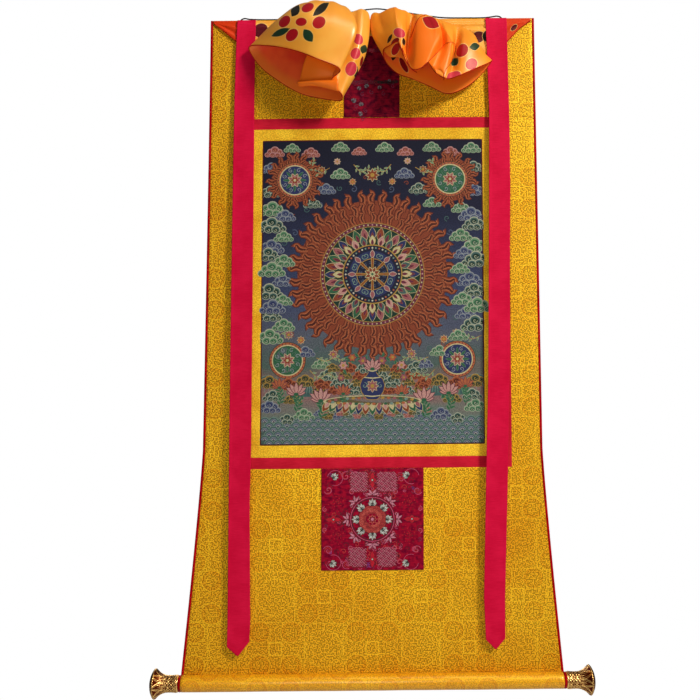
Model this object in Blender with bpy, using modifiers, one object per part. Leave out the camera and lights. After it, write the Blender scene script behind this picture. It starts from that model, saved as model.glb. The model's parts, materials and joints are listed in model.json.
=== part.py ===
"""Thangka scroll painting, hung by its cord, in metres with +Z up.

The front faces -Y and +X is to the viewer's right. The origin is the point
where the cord is hung. Each sewn piece is cut flat, as a distance across from
the centre line and a distance down from the top edge, and hang() gives the
place of each flat point once the scroll hangs.
"""
import math

import bmesh
import bpy
from mathutils import Matrix, Vector

MM = 0.001

# The hung cloth
TOP_DROP = 22 * MM           # from the hang point down to the top edge
HALF_WIDTH = 299.3 * MM      # centre line to side edge, at the top
SIDE_SPREAD = 4.2 * MM       # each side has crept out by this where the flare starts
SPREAD_POWER = 1.5
FLARE_START = 790 * MM       # down the cloth to where its sides turn outward
FLARE_REACH = 34.3 * MM      # how far each side then spreads before the roller
FLARE_POWER = 1.15
ROLLER_DOWN = 1193 * MM      # down the cloth to where it meets the roller's back
HANG_SKEW = 0.0092           # the scroll hangs with its right side a little high
BELLY = 13 * MM              # the middle stands this far forward of the edges
SIDE_DROOP = 6 * MM          # the left side falls back by this much

# Cloth thicknesses and the gap between neighbours
SEAM = 0.3 * MM
BROCADE_THICK = 2.0 * MM
STRIP_THICK = 2.0 * MM
PAINTING_THICK = 1.4 * MM
PATCH_THICK = 1.2 * MM
BINDING_THICK = 2.4 * MM
RIBBON_THICK = 1.4 * MM
SILK_THICK = 1.2 * MM
PATCH_GAP = 0.4 * MM         # between a patch and the brocade that it is sewn on

# The cut lines of the mounting
BINDING_WIDTH = 4.5 * MM
RED_OUTER_HALF = 248 * MM    # outer edge of the crimson frame
RED_INNER_HALF = 224 * MM    # crimson frame meets the yellow one
PAINTING_HALF = 200 * MM
RED_TOP = 187.7 * MM         # distances down from the top edge
YELLOW_TOP = 207.9 * MM
PAINTING_TOP = 229.3 * MM
PAINTING_FOOT = 782.6 * MM
YELLOW_FOOT = 804.3 * MM
RED_FOOT = 824.4 * MM
UPPER_PATCH_LEFT, UPPER_PATCH_RIGHT = -52 * MM, 49.5 * MM
UPPER_PATCH_TOP = 12 * MM
LOWER_PATCH_HALF = 90.5 * MM
LOWER_PATCH_FOOT = 1003 * MM

# The roller, its knobs and the cord
ROLLER_RADIUS = 14.3 * MM
ROLLER_CLOTH_GAP = 0.4 * MM
WRAP_RADIUS = ROLLER_RADIUS + ROLLER_CLOTH_GAP + BROCADE_THICK / 2
WRAP_TURN = math.radians(60)  # how far the cloth follows the roller round
RING_RADIUS = 14.1 * MM
RING_WIDTH = 4.2 * MM
KNOB_INNER = 336.4 * MM      # centre line to the end of the covered roller
RIM_EASE = 0.8 * MM          # rounding of the roller's rims
CORD_RADIUS = 1.3 * MM

# How finely the pieces are cut into faces
ROW_STEP = 44 * MM
COLUMN_STEP = 40 * MM
WRAP_ROWS = 4
COVER_COLUMNS, COVER_ROWS = 44, 8
PUFF_ROWS = 8
COLUMNS_A_FOLD = 2
RIBBON_COLUMNS = 6
POINT_ROWS = 3               # a ribbon's rows over its pointed foot
GATHER_STEPS = 12
ROUND_SIDES = 32
CORD_POINTS = 78
ROUTE_STEPS = 800            # where a smooth curve is measured along its length
WELD = 0.001 * MM

# The knob's outline: distance along it from the roller, and radius, in mm
KNOB_OUTLINE = (
    (0.0, 13.2), (1.0, 14.0), (2.2, 14.1), (3.4, 14.6), (9.0, 14.2), (16.0, 14.0), (22.5, 14.4),
    (28.5, 16.2), (33.5, 19.0), (37.5, 22.4), (40.2, 25.1), (41.7, 25.4), (43.1, 24.2),
    (45.9, 19.6), (48.2, 13.6), (49.7, 7.0),
)
KNOB_TIP = 50.2 * MM

# The ribbons, from the top: down the cloth, centre across, width, lift off the cloth, in mm
LEFT_RIBBON = (
    (1, -232, 34.0, 3.9), (4, -232, 34.0, 4.8), (10, -232, 34.2, 6.6), (60, -233, 35.5, 6.8),
    (150, -234, 36.5, 7.6), (255, -234, 38.0, 9.0),
    (520, -234, 39.0, 11.0), (775, -234, 39.5, 12.5), (890, -235, 37.5, 12.0),
    (1090, -234, 40.0, 10.0), (1150, -236, 38.0, 9.0),
)
RIGHT_RIBBON = (
    (1, 228, 39.0, 3.9), (4, 228, 39.0, 4.8), (10, 228, 39.0, 6.6), (60, 229, 38.0, 6.8),
    (175, 231, 36.5, 7.8), (320, 230, 38.5, 9.5),
    (670, 224, 37.5, 12.0), (820, 220, 38.5, 12.5), (1050, 214, 37.0, 11.0), (1142, 216, 33.0, 9.5),
)
# Where a ribbon's point begins at its two sides, and where it ends, down the cloth
LEFT_POINT = {"left": 1133 * MM, "tip": 1150 * MM, "right": 1124 * MM}
RIGHT_POINT = {"left": 1124 * MM, "tip": 1142 * MM, "right": 1122 * MM}
RIBBON_SQUARE_END = 1115 * MM
SEAM_ROWS = (4 * MM, 7 * MM, 10 * MM)  # a ribbon's first rows, over the top edge's seam

# The silk cover's lower edge where it lies along the top: across, down, in mm
COVER_EDGE = (
    (-294, 5), (-273, 22), (-252, 40), (-215, 56), (-120, 50), (-40, 34), (60, 34),
    (150, 54), (212, 54), (250, 33), (272, 18), (293, 5),
)
COVER_TOP = 1 * MM
COVER_SEAM_LIFT = 2.1 * MM
COVER_LIFT = 3.9 * MM
COVER_FOLD = 0.8 * MM
COVER_FOLDS = 2.5
COVER_CLOSENESS = 1.4        # the cover's rows lie closer together towards the seam
COVER_LEAVES_SEAM = 5 * MM   # down the cover to where it lifts off the seam,
COVER_LIFTS_OVER = 8 * MM    # and how much further it takes to lift

# The cover's two puffs: one row for each fold, in order round the mouth. Columns, in mm:
# the fold's crest (across, up from the top edge, out from the cloth), how far its middle
# swings across and bellies out, and its hem (across, up, out).
LEFT_PUFF = (
    # crest              middle      hem
    (-130, 10, 30,       -2, 4,      -225, -62, 20),    # left tip
    (-108, 13, 42,       -2, 18,     -188, -72, 50),
    (-88, 13, 44,        0, 24,      -138, -92, 76),
    (-74, 12, 44,        4, 22,      -98, -112, 88),
    (-61, 8, 36,         -4, 16,     -59, -129, 78),    # bright ridge
    (-51, 2, 22,         7, -2,      -70, -140, 64),    # valley
    (-38, 2, 26,         14, 6,      -67, -150, 54),    # second lobe
    (-22, 6, 28,         12, 12,     -54, -163, 50),
    (-9, 4, 20,          20, 4,      -56, -168, 36),    # its outer edge
    (-16, -44, 11,       16, 0,      -82, -160, 20),    # back wall
    (-52, -50, 8,        4, 0,       -128, -148, 15),
    (-86, -46, 8,        0, 0,       -166, -126, 13),
    (-114, -34, 9,       0, 0,       -202, -98, 13),
    (-130, -12, 16,      0, 0,       -219, -76, 14),
)
RIGHT_PUFF = (
    (1, 3, 18,           -12, 2,     20, -73, 34),      # left edge
    (15, 0, 28,          -4, 4,      31, -72, 50),
    (37, 7, 32,          -2, 8,      45, -70, 62),      # cone
    (52, 3, 32,          2, 8,       51, -84, 66),
    (73, 0, 22,          -2, -8,     60, -106, 60),     # valley
    (82, -4, 28,         0, 12,      74, -128, 76),     # apron
    (93, -4, 30,         16, 14,     86, -126, 82),
    (104, -8, 28,        18, 12,     97, -116, 80),
    (114, -11, 22,       16, 2,      105, -121, 66),    # tuck
    (124, -14, 26,       15, 10,     114, -134, 72),    # finger
    (137, -18, 26,       10, 10,     127, -141, 72),
    (150, -21, 22,       4, -4,      137, -137, 60),    # valley
    (163, -24, 22,       0, 10,      156, -131, 62),    # skirt
    (178, -30, 19,       2, 10,      186, -114, 52),
    (187, -33, 15,       4, 4,       211, -92, 36),
    (186, -40, 11,       0, 0,       217, -81, 22),     # right tip
    (170, -48, 9,        0, 0,       202, -108, 18),    # back wall
    (148, -52, 8,        0, 0,       169, -136, 15),
    (124, -52, 8,        0, 0,       136, -147, 14),
    (96, -50, 8,         0, 0,       105, -133, 13),
    (66, -44, 8,         0, 0,       72, -118, 12),
    (40, -34, 8,         0, 0,       44, -107, 12),
    (18, -24, 9,         -2, 0,      25, -88, 15),
    (4, -12, 12,         -8, 0,      20, -79, 23),
)
# Where the folds of a puff are drawn together, as a share of the crest's own place
LEFT_HUB, RIGHT_HUB = -20 * MM, 28 * MM
HUB_SPREAD, HUB_RISE, HUB_DEPTH = 0.6, 0.4, 0.3
HUB_UP = -11 * MM
HUB_OUT = 4.5 * MM
GATHER_LEFT, GATHER_RIGHT = -86 * MM, 122 * MM
GATHER_OUT = 9 * MM
GATHER_RADIUS = 4.8 * MM
PUCKER_DEPTH, PUCKER_TURN = 0.15, 2.2

# The cord's route, by hand: across, up from the top edge, back from the cloth's middle, in mm
CORD_ROUTE = (
    (-245, -7.0, 4.2), (-246, -1.5, 3.9), (-243, 2.6, 1.8), (-237, 4.4, 0.2), (-228, 2.9, 0.0),
    (-205, 1.8, 0.0), (-160, 1.9, 0.0), (-125, 3.0, 0.0), (-90, 6.6, 0.0), (-45, 13.6, 0.0),
    (-8, 19.6, 0.0), (10, 20.6, 0.0), (30, 18.2, 0.0), (70, 11.6, 0.0), (105, 6.0, 0.0),
    (130, 2.8, 0.0), (170, 1.9, 0.0), (208, 2.0, 0.0), (222, 3.6, 0.0), (231, 4.8, 0.2),
    (238, 3.0, 1.6), (241, -1.5, 3.8), (240, -7.0, 4.2),
)

# name: (red, green, blue), roughness, metallic
FINISHES = {
    "gold_brocade": ((0.62, 0.40, 0.03), 0.45, 0.0),
    "crimson_cloth": ((0.52, 0.01, 0.04), 0.60, 0.0),
    "yellow_cloth": ((0.70, 0.45, 0.03), 0.55, 0.0),
    "painted_cloth": ((0.05, 0.06, 0.08), 0.75, 0.0),
    "red_brocade": ((0.34, 0.02, 0.05), 0.50, 0.0),
    "red_binding": ((0.42, 0.005, 0.01), 0.60, 0.0),
    "cover_silk": ((0.90, 0.36, 0.04), 0.35, 0.0),
    "chased_brass": ((0.55, 0.32, 0.10), 0.32, 1.0),
    "dark_cord": ((0.03, 0.02, 0.02), 0.80, 0.0),
}


def smooth_step(value):
    value = min(max(value, 0.0), 1.0)
    return value * value * (3 - 2 * value)


def half_width(down):
    """Centre line to side edge: nearly straight at first, then spreading to the roller."""
    spread = min(max(down / FLARE_START, 0.0), 1.0)
    flare = min(max((down - FLARE_START) / (ROLLER_DOWN - FLARE_START), 0.0), 1.0)
    return HALF_WIDTH + SIDE_SPREAD * spread ** SPREAD_POWER + FLARE_REACH * flare ** FLARE_POWER


def cloth_back(across, down):
    """How far back the middle of the cloth lies, over its hung part."""
    fullness = math.sin(math.pi * min(max(down / ROLLER_DOWN, 0.0), 1.0))
    side = across / half_width(down)
    left = smooth_step((-side - 0.5) / 0.5)
    return fullness * (SIDE_DROOP * left - BELLY * (1 - 0.5 * side * side))


def hang(across, down, lift=0.0):
    """Place of a flat point of the cloth once hung, lifted off the cloth's middle."""
    if down <= ROLLER_DOWN:
        back = cloth_back(across, down) - lift
        height = -TOP_DROP - down
    else:
        turn = (down - ROLLER_DOWN) / WRAP_RADIUS
        radius = WRAP_RADIUS - lift
        back = radius * math.cos(turn) - WRAP_RADIUS
        height = -TOP_DROP - ROLLER_DOWN - radius * math.sin(turn)
    return Vector((across, back, height + HANG_SKEW * across))


def hang_up(across, up, out):
    """As hang(), for the loose folds, whose height is given up from the top edge."""
    return hang(across, HANG_SKEW * across - up, out)


def spline_point(points, position):
    """Point of the smooth curve through points, at 0 for the first and 1 for the last."""
    place = min(max(position, 0.0), 1.0) * (len(points) - 1)
    index = min(int(place), len(points) - 2)
    share = place - index
    here, there = points[index], points[index + 1]
    before = points[index - 1] if index else here * 2 - there
    after = points[index + 2] if index + 2 < len(points) else there * 2 - here
    return blend_four(before, here, there, after, share)


def loop_point(points, position):
    """The same for a closed loop of points, once round for a position of 1."""
    place = (position % 1.0) * len(points)
    index = int(place)
    four = [points[(index + step) % len(points)] for step in (-1, 0, 1, 2)]
    return blend_four(*four, place - index)


def blend_four(before, here, there, after, share):
    """Centripetal spline between here and there, which never loops on uneven spacing."""
    knots = [0.0]
    for start, end in ((before, here), (here, there), (there, after)):
        knots.append(knots[-1] + max((end - start).length, 1e-6) ** 0.5)
    at = knots[1] + (knots[2] - knots[1]) * share

    def mix(start, end, low, high):
        return start + (end - start) * ((at - low) / (high - low))

    first = mix(before, here, knots[0], knots[1])
    second = mix(here, there, knots[1], knots[2])
    third = mix(there, after, knots[2], knots[3])
    return mix(mix(first, second, knots[0], knots[2]), mix(second, third, knots[1], knots[3]),
               knots[1], knots[2])


def table_value(rows, at, column):
    """Value of one column of a table, in a straight line between rows by their first column."""
    if at <= rows[0][0]:
        return rows[0][column]
    for low, high in zip(rows, rows[1:]):
        if at <= high[0]:
            share = (at - low[0]) / (high[0] - low[0])
            return low[column] + (high[column] - low[column]) * share
    return rows[-1][column]


def finish(name):
    """The Principled material of one cloth or metal."""
    material = bpy.data.materials.get(name)
    if material is None:
        colour, roughness, metallic = FINISHES[name]
        material = bpy.data.materials.new(name)
        material.use_nodes = True
        shader = material.node_tree.nodes["Principled BSDF"]
        shader.inputs["Base Color"].default_value = (*colour, 1.0)
        shader.inputs["Roughness"].default_value = roughness
        shader.inputs["Metallic"].default_value = metallic
        material.diffuse_color = (*colour, 1.0)
    return material


def add_object(name, mesh, material_name, anchor, collection):
    """One object with its mesh, whose points are given in the scroll's own frame."""
    mesh.transform(Matrix.Translation(-anchor))
    mesh.materials.clear()
    mesh.materials.append(finish(material_name))
    item = bpy.data.objects.new(name, mesh)
    item.location = anchor
    item.parent = hang_point
    collection.objects.link(item)
    return item


def add_grid(name, material_name, place, columns, rows, anchor, collection=None, closed=False):
    """An open surface: a grid whose points go where place(side, length) puts them."""
    bm = bmesh.new()
    bmesh.ops.create_grid(bm, x_segments=columns, y_segments=rows, size=0.5)
    for vert in bm.verts:
        vert.co = place(vert.co.x + 0.5, 0.5 - vert.co.y)
    if closed:
        bmesh.ops.remove_doubles(bm, verts=bm.verts, dist=WELD)
    mesh = bpy.data.meshes.new(name)
    bm.to_mesh(mesh)
    bm.free()
    mesh.shade_smooth()
    return add_object(name, mesh, material_name, anchor, collection or scroll)


def thicken(item, thickness):
    """Give a surface the cloth's thickness, half on each side."""
    solidify = item.modifiers.new("cloth", "SOLIDIFY")
    solidify.thickness = thickness
    solidify.offset = 0.0


def row_places(top, foot):
    """Distances down for a sheet's rows, closer together where it goes round the roller."""
    flat_foot = min(foot, ROLLER_DOWN)
    count = max(2, math.ceil((flat_foot - top) / ROW_STEP))
    places = [top + (flat_foot - top) * step / count for step in range(count + 1)]
    if foot > ROLLER_DOWN:
        places += [ROLLER_DOWN + (foot - ROLLER_DOWN) * (step + 1) / WRAP_ROWS
                   for step in range(WRAP_ROWS)]
    return places


def sewn_sheet(name, material_name, left, right, top, foot, thickness, lift=0.0):
    """A flat-cut piece of the mounting. left and right give its edges at a distance down."""
    downs = row_places(top, foot)
    width = right(top) - left(top)
    columns = max(2, math.ceil(width / COLUMN_STEP))

    def place(side, length):
        down = downs[round(length * (len(downs) - 1))]
        across = left(down) + (right(down) - left(down)) * side
        return hang(across, down, lift)

    middle = (left(top) + right(top)) / 2
    item = add_grid(name, material_name, place, columns, len(downs) - 1, hang(middle, top, lift))
    thicken(item, thickness)
    return item


def steady(value):
    return lambda down: value


def side_edge(sign, inset):
    """A line that keeps a distance inside the spreading side edge."""
    return lambda down: sign * (half_width(down) - inset)


def make_mounting():
    """The brocade panels, both frames, the painting, the patches and the side bindings."""
    wrap_foot = ROLLER_DOWN + WRAP_RADIUS * WRAP_TURN
    inset = BINDING_WIDTH + SEAM
    left_side, right_side = side_edge(-1, inset), side_edge(1, inset)
    red_outer = RED_OUTER_HALF + SEAM
    side_foot = RED_FOOT - SEAM
    for name, left, right, top, foot in (
            ("brocade_top", left_side, right_side, 0.0, RED_TOP - SEAM),
            ("brocade_left", left_side, steady(-red_outer), RED_TOP, side_foot),
            ("brocade_right", steady(red_outer), right_side, RED_TOP, side_foot),
            ("brocade_bottom", left_side, right_side, RED_FOOT, wrap_foot)):
        sewn_sheet(name, "gold_brocade", left, right, top, foot, BROCADE_THICK)

    make_frame("red_strip", "crimson_cloth", RED_OUTER_HALF, RED_INNER_HALF,
               RED_TOP, YELLOW_TOP, YELLOW_FOOT, side_foot)
    make_frame("yellow_strip", "yellow_cloth", RED_INNER_HALF - SEAM, PAINTING_HALF,
               YELLOW_TOP, PAINTING_TOP, PAINTING_FOOT, YELLOW_FOOT - SEAM)
    half = PAINTING_HALF - SEAM
    sewn_sheet("painting", "painted_cloth", steady(-half), steady(half),
               PAINTING_TOP, PAINTING_FOOT - SEAM, PAINTING_THICK)

    patch_lift = BROCADE_THICK / 2 + PATCH_GAP + PATCH_THICK / 2
    sewn_sheet("patch_upper", "red_brocade", steady(UPPER_PATCH_LEFT), steady(UPPER_PATCH_RIGHT),
               UPPER_PATCH_TOP, RED_TOP - SEAM, PATCH_THICK, patch_lift)
    sewn_sheet("patch_lower", "red_brocade", steady(-LOWER_PATCH_HALF), steady(LOWER_PATCH_HALF),
               RED_FOOT, LOWER_PATCH_FOOT, PATCH_THICK, patch_lift)

    for name, sign in (("binding_left", -1), ("binding_right", 1)):
        edges = sorted((0.0, BINDING_WIDTH), reverse=sign > 0)
        sewn_sheet(name, "red_binding", side_edge(sign, edges[0]), side_edge(sign, edges[1]),
                   0.0, wrap_foot, BINDING_THICK)


def make_frame(name, material_name, outer, inner, top, side_top, side_foot, foot):
    """Four strips with butt joints: the top and foot strips run the whole width."""
    sewn_sheet(name + "_top", material_name, steady(-outer), steady(outer),
               top, side_top - SEAM, STRIP_THICK)
    sewn_sheet(name + "_foot", material_name, steady(-outer), steady(outer),
               side_foot, foot, STRIP_THICK)
    sewn_sheet(name + "_left", material_name, steady(-outer), steady(-inner),
               side_top, side_foot - SEAM, STRIP_THICK)
    sewn_sheet(name + "_right", material_name, steady(inner), steady(outer),
               side_top, side_foot - SEAM, STRIP_THICK)


def make_ribbon(name, rows, point):
    """A flat ribbon that hangs in front, with a pointed foot."""
    top = rows[0][0] * MM
    step_count = math.ceil((RIBBON_SQUARE_END - top) / ROW_STEP)
    below = [SEAM_ROWS[-1] + (RIBBON_SQUARE_END - SEAM_ROWS[-1]) * step / step_count
             for step in range(1, step_count + 1)]
    downs = [top, *SEAM_ROWS, *below]
    rows_in_all = len(downs) - 1 + POINT_ROWS

    def place(side, length):
        row = round(length * rows_in_all)
        down = downs[min(row, len(downs) - 1)]
        if row >= len(downs):
            share = (row - len(downs) + 1) / POINT_ROWS
            shoulder = point["left"] if side < 0.5 else point["right"]
            foot = point["tip"] + (shoulder - point["tip"]) * abs(side - 0.5) * 2
            down += (foot - down) * share
        centre, width, lift = (table_value(rows, down / MM, column) * MM for column in (1, 2, 3))
        return hang(centre + (side - 0.5) * width, down, lift)

    anchor = hang(rows[0][1] * MM, top, rows[0][3] * MM)
    item = add_grid(name, "crimson_cloth", place, RIBBON_COLUMNS, rows_in_all, anchor)
    thicken(item, RIBBON_THICK)


def cover_place(side, length):
    """The cover where it lies along the top: creases run with its slanting lower edge."""
    across = (COVER_EDGE[0][0] + (COVER_EDGE[-1][0] - COVER_EDGE[0][0]) * side) * MM
    foot = table_value(COVER_EDGE, across / MM, 1) * MM
    down = COVER_TOP + (foot - COVER_TOP) * length ** COVER_CLOSENESS
    clear = smooth_step((down - COVER_LEAVES_SEAM) / COVER_LIFTS_OVER)
    crease = COVER_FOLD * math.sin(2 * math.pi * COVER_FOLDS * length)
    return hang(across, down, COVER_SEAM_LIFT + (COVER_LIFT + crease - COVER_SEAM_LIFT) * clear)


def puff_folds(rows, hub):
    """Each fold's four stations: hub, crest, middle and hem, in the scroll's frame."""
    folds = []
    for row in rows:
        crest_x, crest_up, crest_out, swing, belly, hem_x, hem_up, hem_out = (v * MM for v in row)
        folds.append((
            hang_up(hub + crest_x * HUB_SPREAD, HUB_UP + crest_up * HUB_RISE,
                    HUB_OUT + crest_out * HUB_DEPTH),
            hang_up(crest_x, crest_up, crest_out),
            hang_up((crest_x + hem_x) / 2 + swing, (crest_up + hem_up) / 2 + belly / 2,
                    (crest_out + hem_out) / 2 + belly),
            hang_up(hem_x, hem_up, hem_out),
        ))
    return folds


def make_puff(name, rows, hub):
    """One gathered puff, open at its hem: folds run from the hub to the mouth."""
    folds = puff_folds(rows, hub)

    def place(side, length):
        ring = [spline_point(fold, length) for fold in folds]
        return loop_point(ring, side)

    anchor = hang_up(hub, HUB_UP, HUB_OUT)
    item = add_grid(name, "cover_silk", place, COLUMNS_A_FOLD * len(rows), PUFF_ROWS, anchor,
                    guides, closed=True)
    thicken(item, SILK_THICK)
    return item


def make_gather():
    """The drawn-together cloth that both puffs come out of."""
    curve = bpy.data.curves.new("gather", "CURVE")
    curve.dimensions = "3D"
    curve.bevel_depth = GATHER_RADIUS
    curve.bevel_resolution = 2
    curve.use_fill_caps = True
    spline = curve.splines.new("POLY")
    spline.points.add(GATHER_STEPS)
    for step, point in enumerate(spline.points):
        across = GATHER_LEFT + (GATHER_RIGHT - GATHER_LEFT) * step / GATHER_STEPS
        point.co = (*hang_up(across, HUB_UP, GATHER_OUT), 1.0)
        point.radius = 1 - PUCKER_DEPTH * (1 - math.cos(PUCKER_TURN * step))
    return curve_as_mesh("gather", curve, "cover_silk", guides)


def curve_as_mesh(name, curve, material_name, collection):
    """Turn a capped curve into a closed mesh object."""
    carrier = bpy.data.objects.new(name + "_curve", curve)
    scroll.objects.link(carrier)
    bpy.context.view_layer.update()
    evaluated = carrier.evaluated_get(bpy.context.evaluated_depsgraph_get())
    mesh = bpy.data.meshes.new_from_object(evaluated)
    bm = bmesh.new()
    bm.from_mesh(mesh)
    bmesh.ops.remove_doubles(bm, verts=bm.verts, dist=WELD)
    bmesh.ops.recalc_face_normals(bm, faces=bm.faces)
    bm.to_mesh(mesh)
    bm.free()
    bpy.data.objects.remove(carrier)
    mesh.name = name
    mesh.shade_smooth()
    return add_object(name, mesh, material_name, Vector((0, 0, 0)), collection)


def make_cover():
    """The silk cover, all one cloth: its strip along the top, both puffs and the gather."""
    cover = add_grid("silk_cover", "cover_silk", cover_place, COVER_COLUMNS, COVER_ROWS,
                     hang(0.0, COVER_TOP))
    thicken(cover, SILK_THICK)
    pieces = (make_gather(), make_puff("left_puff", LEFT_PUFF, LEFT_HUB),
              make_puff("right_puff", RIGHT_PUFF, RIGHT_HUB))
    for piece in pieces:
        piece.hide_render = True
        piece.display_type = "WIRE"
        union = cover.modifiers.new(piece.name, "BOOLEAN")
        union.operation = "UNION"
        union.solver = "EXACT"
        union.object = piece


def add_turned(name, radius, depth, centre, tilt, material_name):
    """A rod along X, tilted with the scroll, with its rims eased."""
    bm = bmesh.new()
    bmesh.ops.create_cone(bm, cap_ends=True, segments=ROUND_SIDES, radius1=radius,
                          radius2=radius, depth=depth)
    mesh = bpy.data.meshes.new(name)
    bm.to_mesh(mesh)
    bm.free()
    item = add_object(name, mesh, material_name, Vector((0, 0, 0)), scroll)
    item.location = centre
    item.rotation_euler = (0.0, tilt, 0.0)
    bevel = item.modifiers.new("rim", "BEVEL")
    bevel.width = RIM_EASE
    bevel.segments = 2
    bevel.limit_method = "ANGLE"
    mesh.shade_smooth()
    mesh.set_sharp_from_angle(angle=math.radians(40))
    return item


def make_roller():
    """The brocade-covered roller, its red end rings and its two brass knobs."""
    slope = math.atan(HANG_SKEW)
    centre = Vector((0.0, -WRAP_RADIUS, -TOP_DROP - ROLLER_DOWN))
    along = Vector((math.cos(slope), 0.0, math.sin(slope)))
    axis_turn = math.pi / 2 - slope
    brocade_half = KNOB_INNER - RING_WIDTH - SEAM
    add_turned("roller", ROLLER_RADIUS, 2 * brocade_half, centre, axis_turn, "gold_brocade")
    for name, sign in (("left", -1), ("right", 1)):
        ring_centre = centre + along * sign * (KNOB_INNER - RING_WIDTH / 2)
        add_turned("roller_ring_" + name, RING_RADIUS, RING_WIDTH, ring_centre, axis_turn,
                   "red_binding")
        turn = axis_turn if sign > 0 else axis_turn + math.pi
        make_knob("knob_" + name, centre + along * sign * (KNOB_INNER + SEAM), turn)


def make_knob(name, place, turn):
    """A turned knob: a neck that flares to a sharp rim, closed by a domed cap."""
    outline = [(radius * MM, along * MM) for along, radius in reversed(KNOB_OUTLINE)]
    mesh = bpy.data.meshes.new(name)
    points = [(0.0, 0.0, KNOB_TIP)] + [(radius, 0.0, along) for radius, along in outline]
    points.append((0.0, 0.0, 0.0))
    mesh.from_pydata(points, [(step, step + 1) for step in range(len(points) - 1)], [])
    item = add_object(name, mesh, "chased_brass", Vector((0, 0, 0)), scroll)
    item.location = place
    item.rotation_euler = (0.0, turn, 0.0)
    screw = item.modifiers.new("turned", "SCREW")
    screw.steps = ROUND_SIDES
    screw.render_steps = ROUND_SIDES
    screw.use_merge_vertices = True
    screw.merge_threshold = WELD
    screw.use_smooth_shade = True


def make_cord():
    """The hanging cord, from behind one ribbon up to the hang point and down to the other."""
    route = [Vector((across * MM, back * MM, (up + HANG_SKEW * across) * MM - TOP_DROP))
             for across, up, back in CORD_ROUTE]
    curve = bpy.data.curves.new("hanging_cord", "CURVE")
    curve.dimensions = "3D"
    curve.bevel_depth = CORD_RADIUS
    curve.bevel_resolution = 2
    curve.use_fill_caps = True
    spline = curve.splines.new("POLY")
    spline.points.add(CORD_POINTS - 1)
    for place, point in zip(even_places(route, CORD_POINTS), spline.points):
        point.co = (*place, 1.0)
    curve.materials.append(finish("dark_cord"))
    item = bpy.data.objects.new("hanging_cord", curve)
    item.parent = hang_point
    scroll.objects.link(item)


def even_places(route, count):
    """Points of the smooth curve through route, spaced evenly along it."""
    fine = [spline_point(route, step / ROUTE_STEPS) for step in range(ROUTE_STEPS + 1)]
    lengths = [0.0]
    for here, there in zip(fine, fine[1:]):
        lengths.append(lengths[-1] + (there - here).length)
    places, index = [], 0
    for step in range(count):
        wanted = lengths[-1] * step / (count - 1)
        while index < len(fine) - 2 and lengths[index + 1] < wanted:
            index += 1
        share = (wanted - lengths[index]) / (lengths[index + 1] - lengths[index])
        places.append(fine[index].lerp(fine[index + 1], min(share, 1.0)))
    return places


def new_collection(name):
    collection = bpy.data.collections.new(name)
    bpy.context.scene.collection.children.link(collection)
    return collection


for old in list(bpy.data.objects):
    bpy.data.objects.remove(old)

scroll = new_collection("thangka_scroll")
guides = new_collection("guides")
hang_point = bpy.data.objects.new("hang_point", None)
scroll.objects.link(hang_point)

make_mounting()
make_ribbon("ribbon_left", LEFT_RIBBON, LEFT_POINT)
make_ribbon("ribbon_right", RIGHT_RIBBON, RIGHT_POINT)
make_cover()
make_roller()
make_cord()
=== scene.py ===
import json
import math

import bmesh
import bpy
from mathutils import Matrix, Vector
from mathutils.bvhtree import BVHTree

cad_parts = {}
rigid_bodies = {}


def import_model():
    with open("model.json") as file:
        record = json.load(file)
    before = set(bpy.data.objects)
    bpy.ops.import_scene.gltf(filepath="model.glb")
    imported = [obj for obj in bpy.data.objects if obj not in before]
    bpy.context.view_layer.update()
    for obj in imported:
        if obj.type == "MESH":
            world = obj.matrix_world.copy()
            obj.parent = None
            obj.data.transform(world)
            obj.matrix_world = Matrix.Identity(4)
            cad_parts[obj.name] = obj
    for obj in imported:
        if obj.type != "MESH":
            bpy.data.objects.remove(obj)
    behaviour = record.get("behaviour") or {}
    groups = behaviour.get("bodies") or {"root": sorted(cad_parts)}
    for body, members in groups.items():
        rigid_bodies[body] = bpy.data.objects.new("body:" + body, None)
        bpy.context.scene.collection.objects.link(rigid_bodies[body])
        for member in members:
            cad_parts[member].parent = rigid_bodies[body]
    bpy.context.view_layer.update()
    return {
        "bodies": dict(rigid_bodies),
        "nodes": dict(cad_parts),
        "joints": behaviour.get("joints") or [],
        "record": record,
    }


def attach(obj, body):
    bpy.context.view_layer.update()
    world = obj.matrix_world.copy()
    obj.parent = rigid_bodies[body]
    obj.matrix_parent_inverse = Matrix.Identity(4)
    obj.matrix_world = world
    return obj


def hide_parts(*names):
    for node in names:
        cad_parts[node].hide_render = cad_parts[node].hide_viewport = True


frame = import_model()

mm = 0.001
bothSides = (("Left", -1), ("Right", 1))

# Camera and lights

view = {
    "eye": (0.0, -1.5, -0.7335), "lookUp": math.radians(3.75),
    "lens": 42.84, "sensor": 36.0, "shiftX": -0.032,
}
light = {
    "background": 1.0, "roomBelow": 0.02, "roomAbove": 0.14, "roomFade": (-0.6, 0.9),
    "highPlace": (2.8, -2.6, 2.0), "highSize": 0.95, "highPower": 208.0,
    "lowPlace": (-0.1, -1.5, -0.8), "lowSize": 0.5, "lowPower": 6.0,
    "upperPlace": (0.2, -0.9, 1.3), "upperSize": 0.7, "upperPower": 5.6,
    "backPlace": (-0.6, 2.6, 0.4), "backSize": 1.6, "backPower": 24.0,
    "aimAt": (0.0, 0.0, -0.55), "colour": (1.0, 0.97, 0.93),
}


def addToScene(item):
    bpy.context.scene.collection.objects.link(item)
    return item


def makeCamera():
    data = bpy.data.cameras.new("camera")
    data.sensor_width, data.lens, data.shift_x = view["sensor"], view["lens"], view["shiftX"]
    camera = addToScene(bpy.data.objects.new("camera", data))
    camera.location = view["eye"]
    camera.rotation_euler = (math.pi / 2 + view["lookUp"], 0.0, 0.0)
    bpy.context.scene.camera = camera
    bpy.context.scene.view_settings.view_transform = "Standard"


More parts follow.
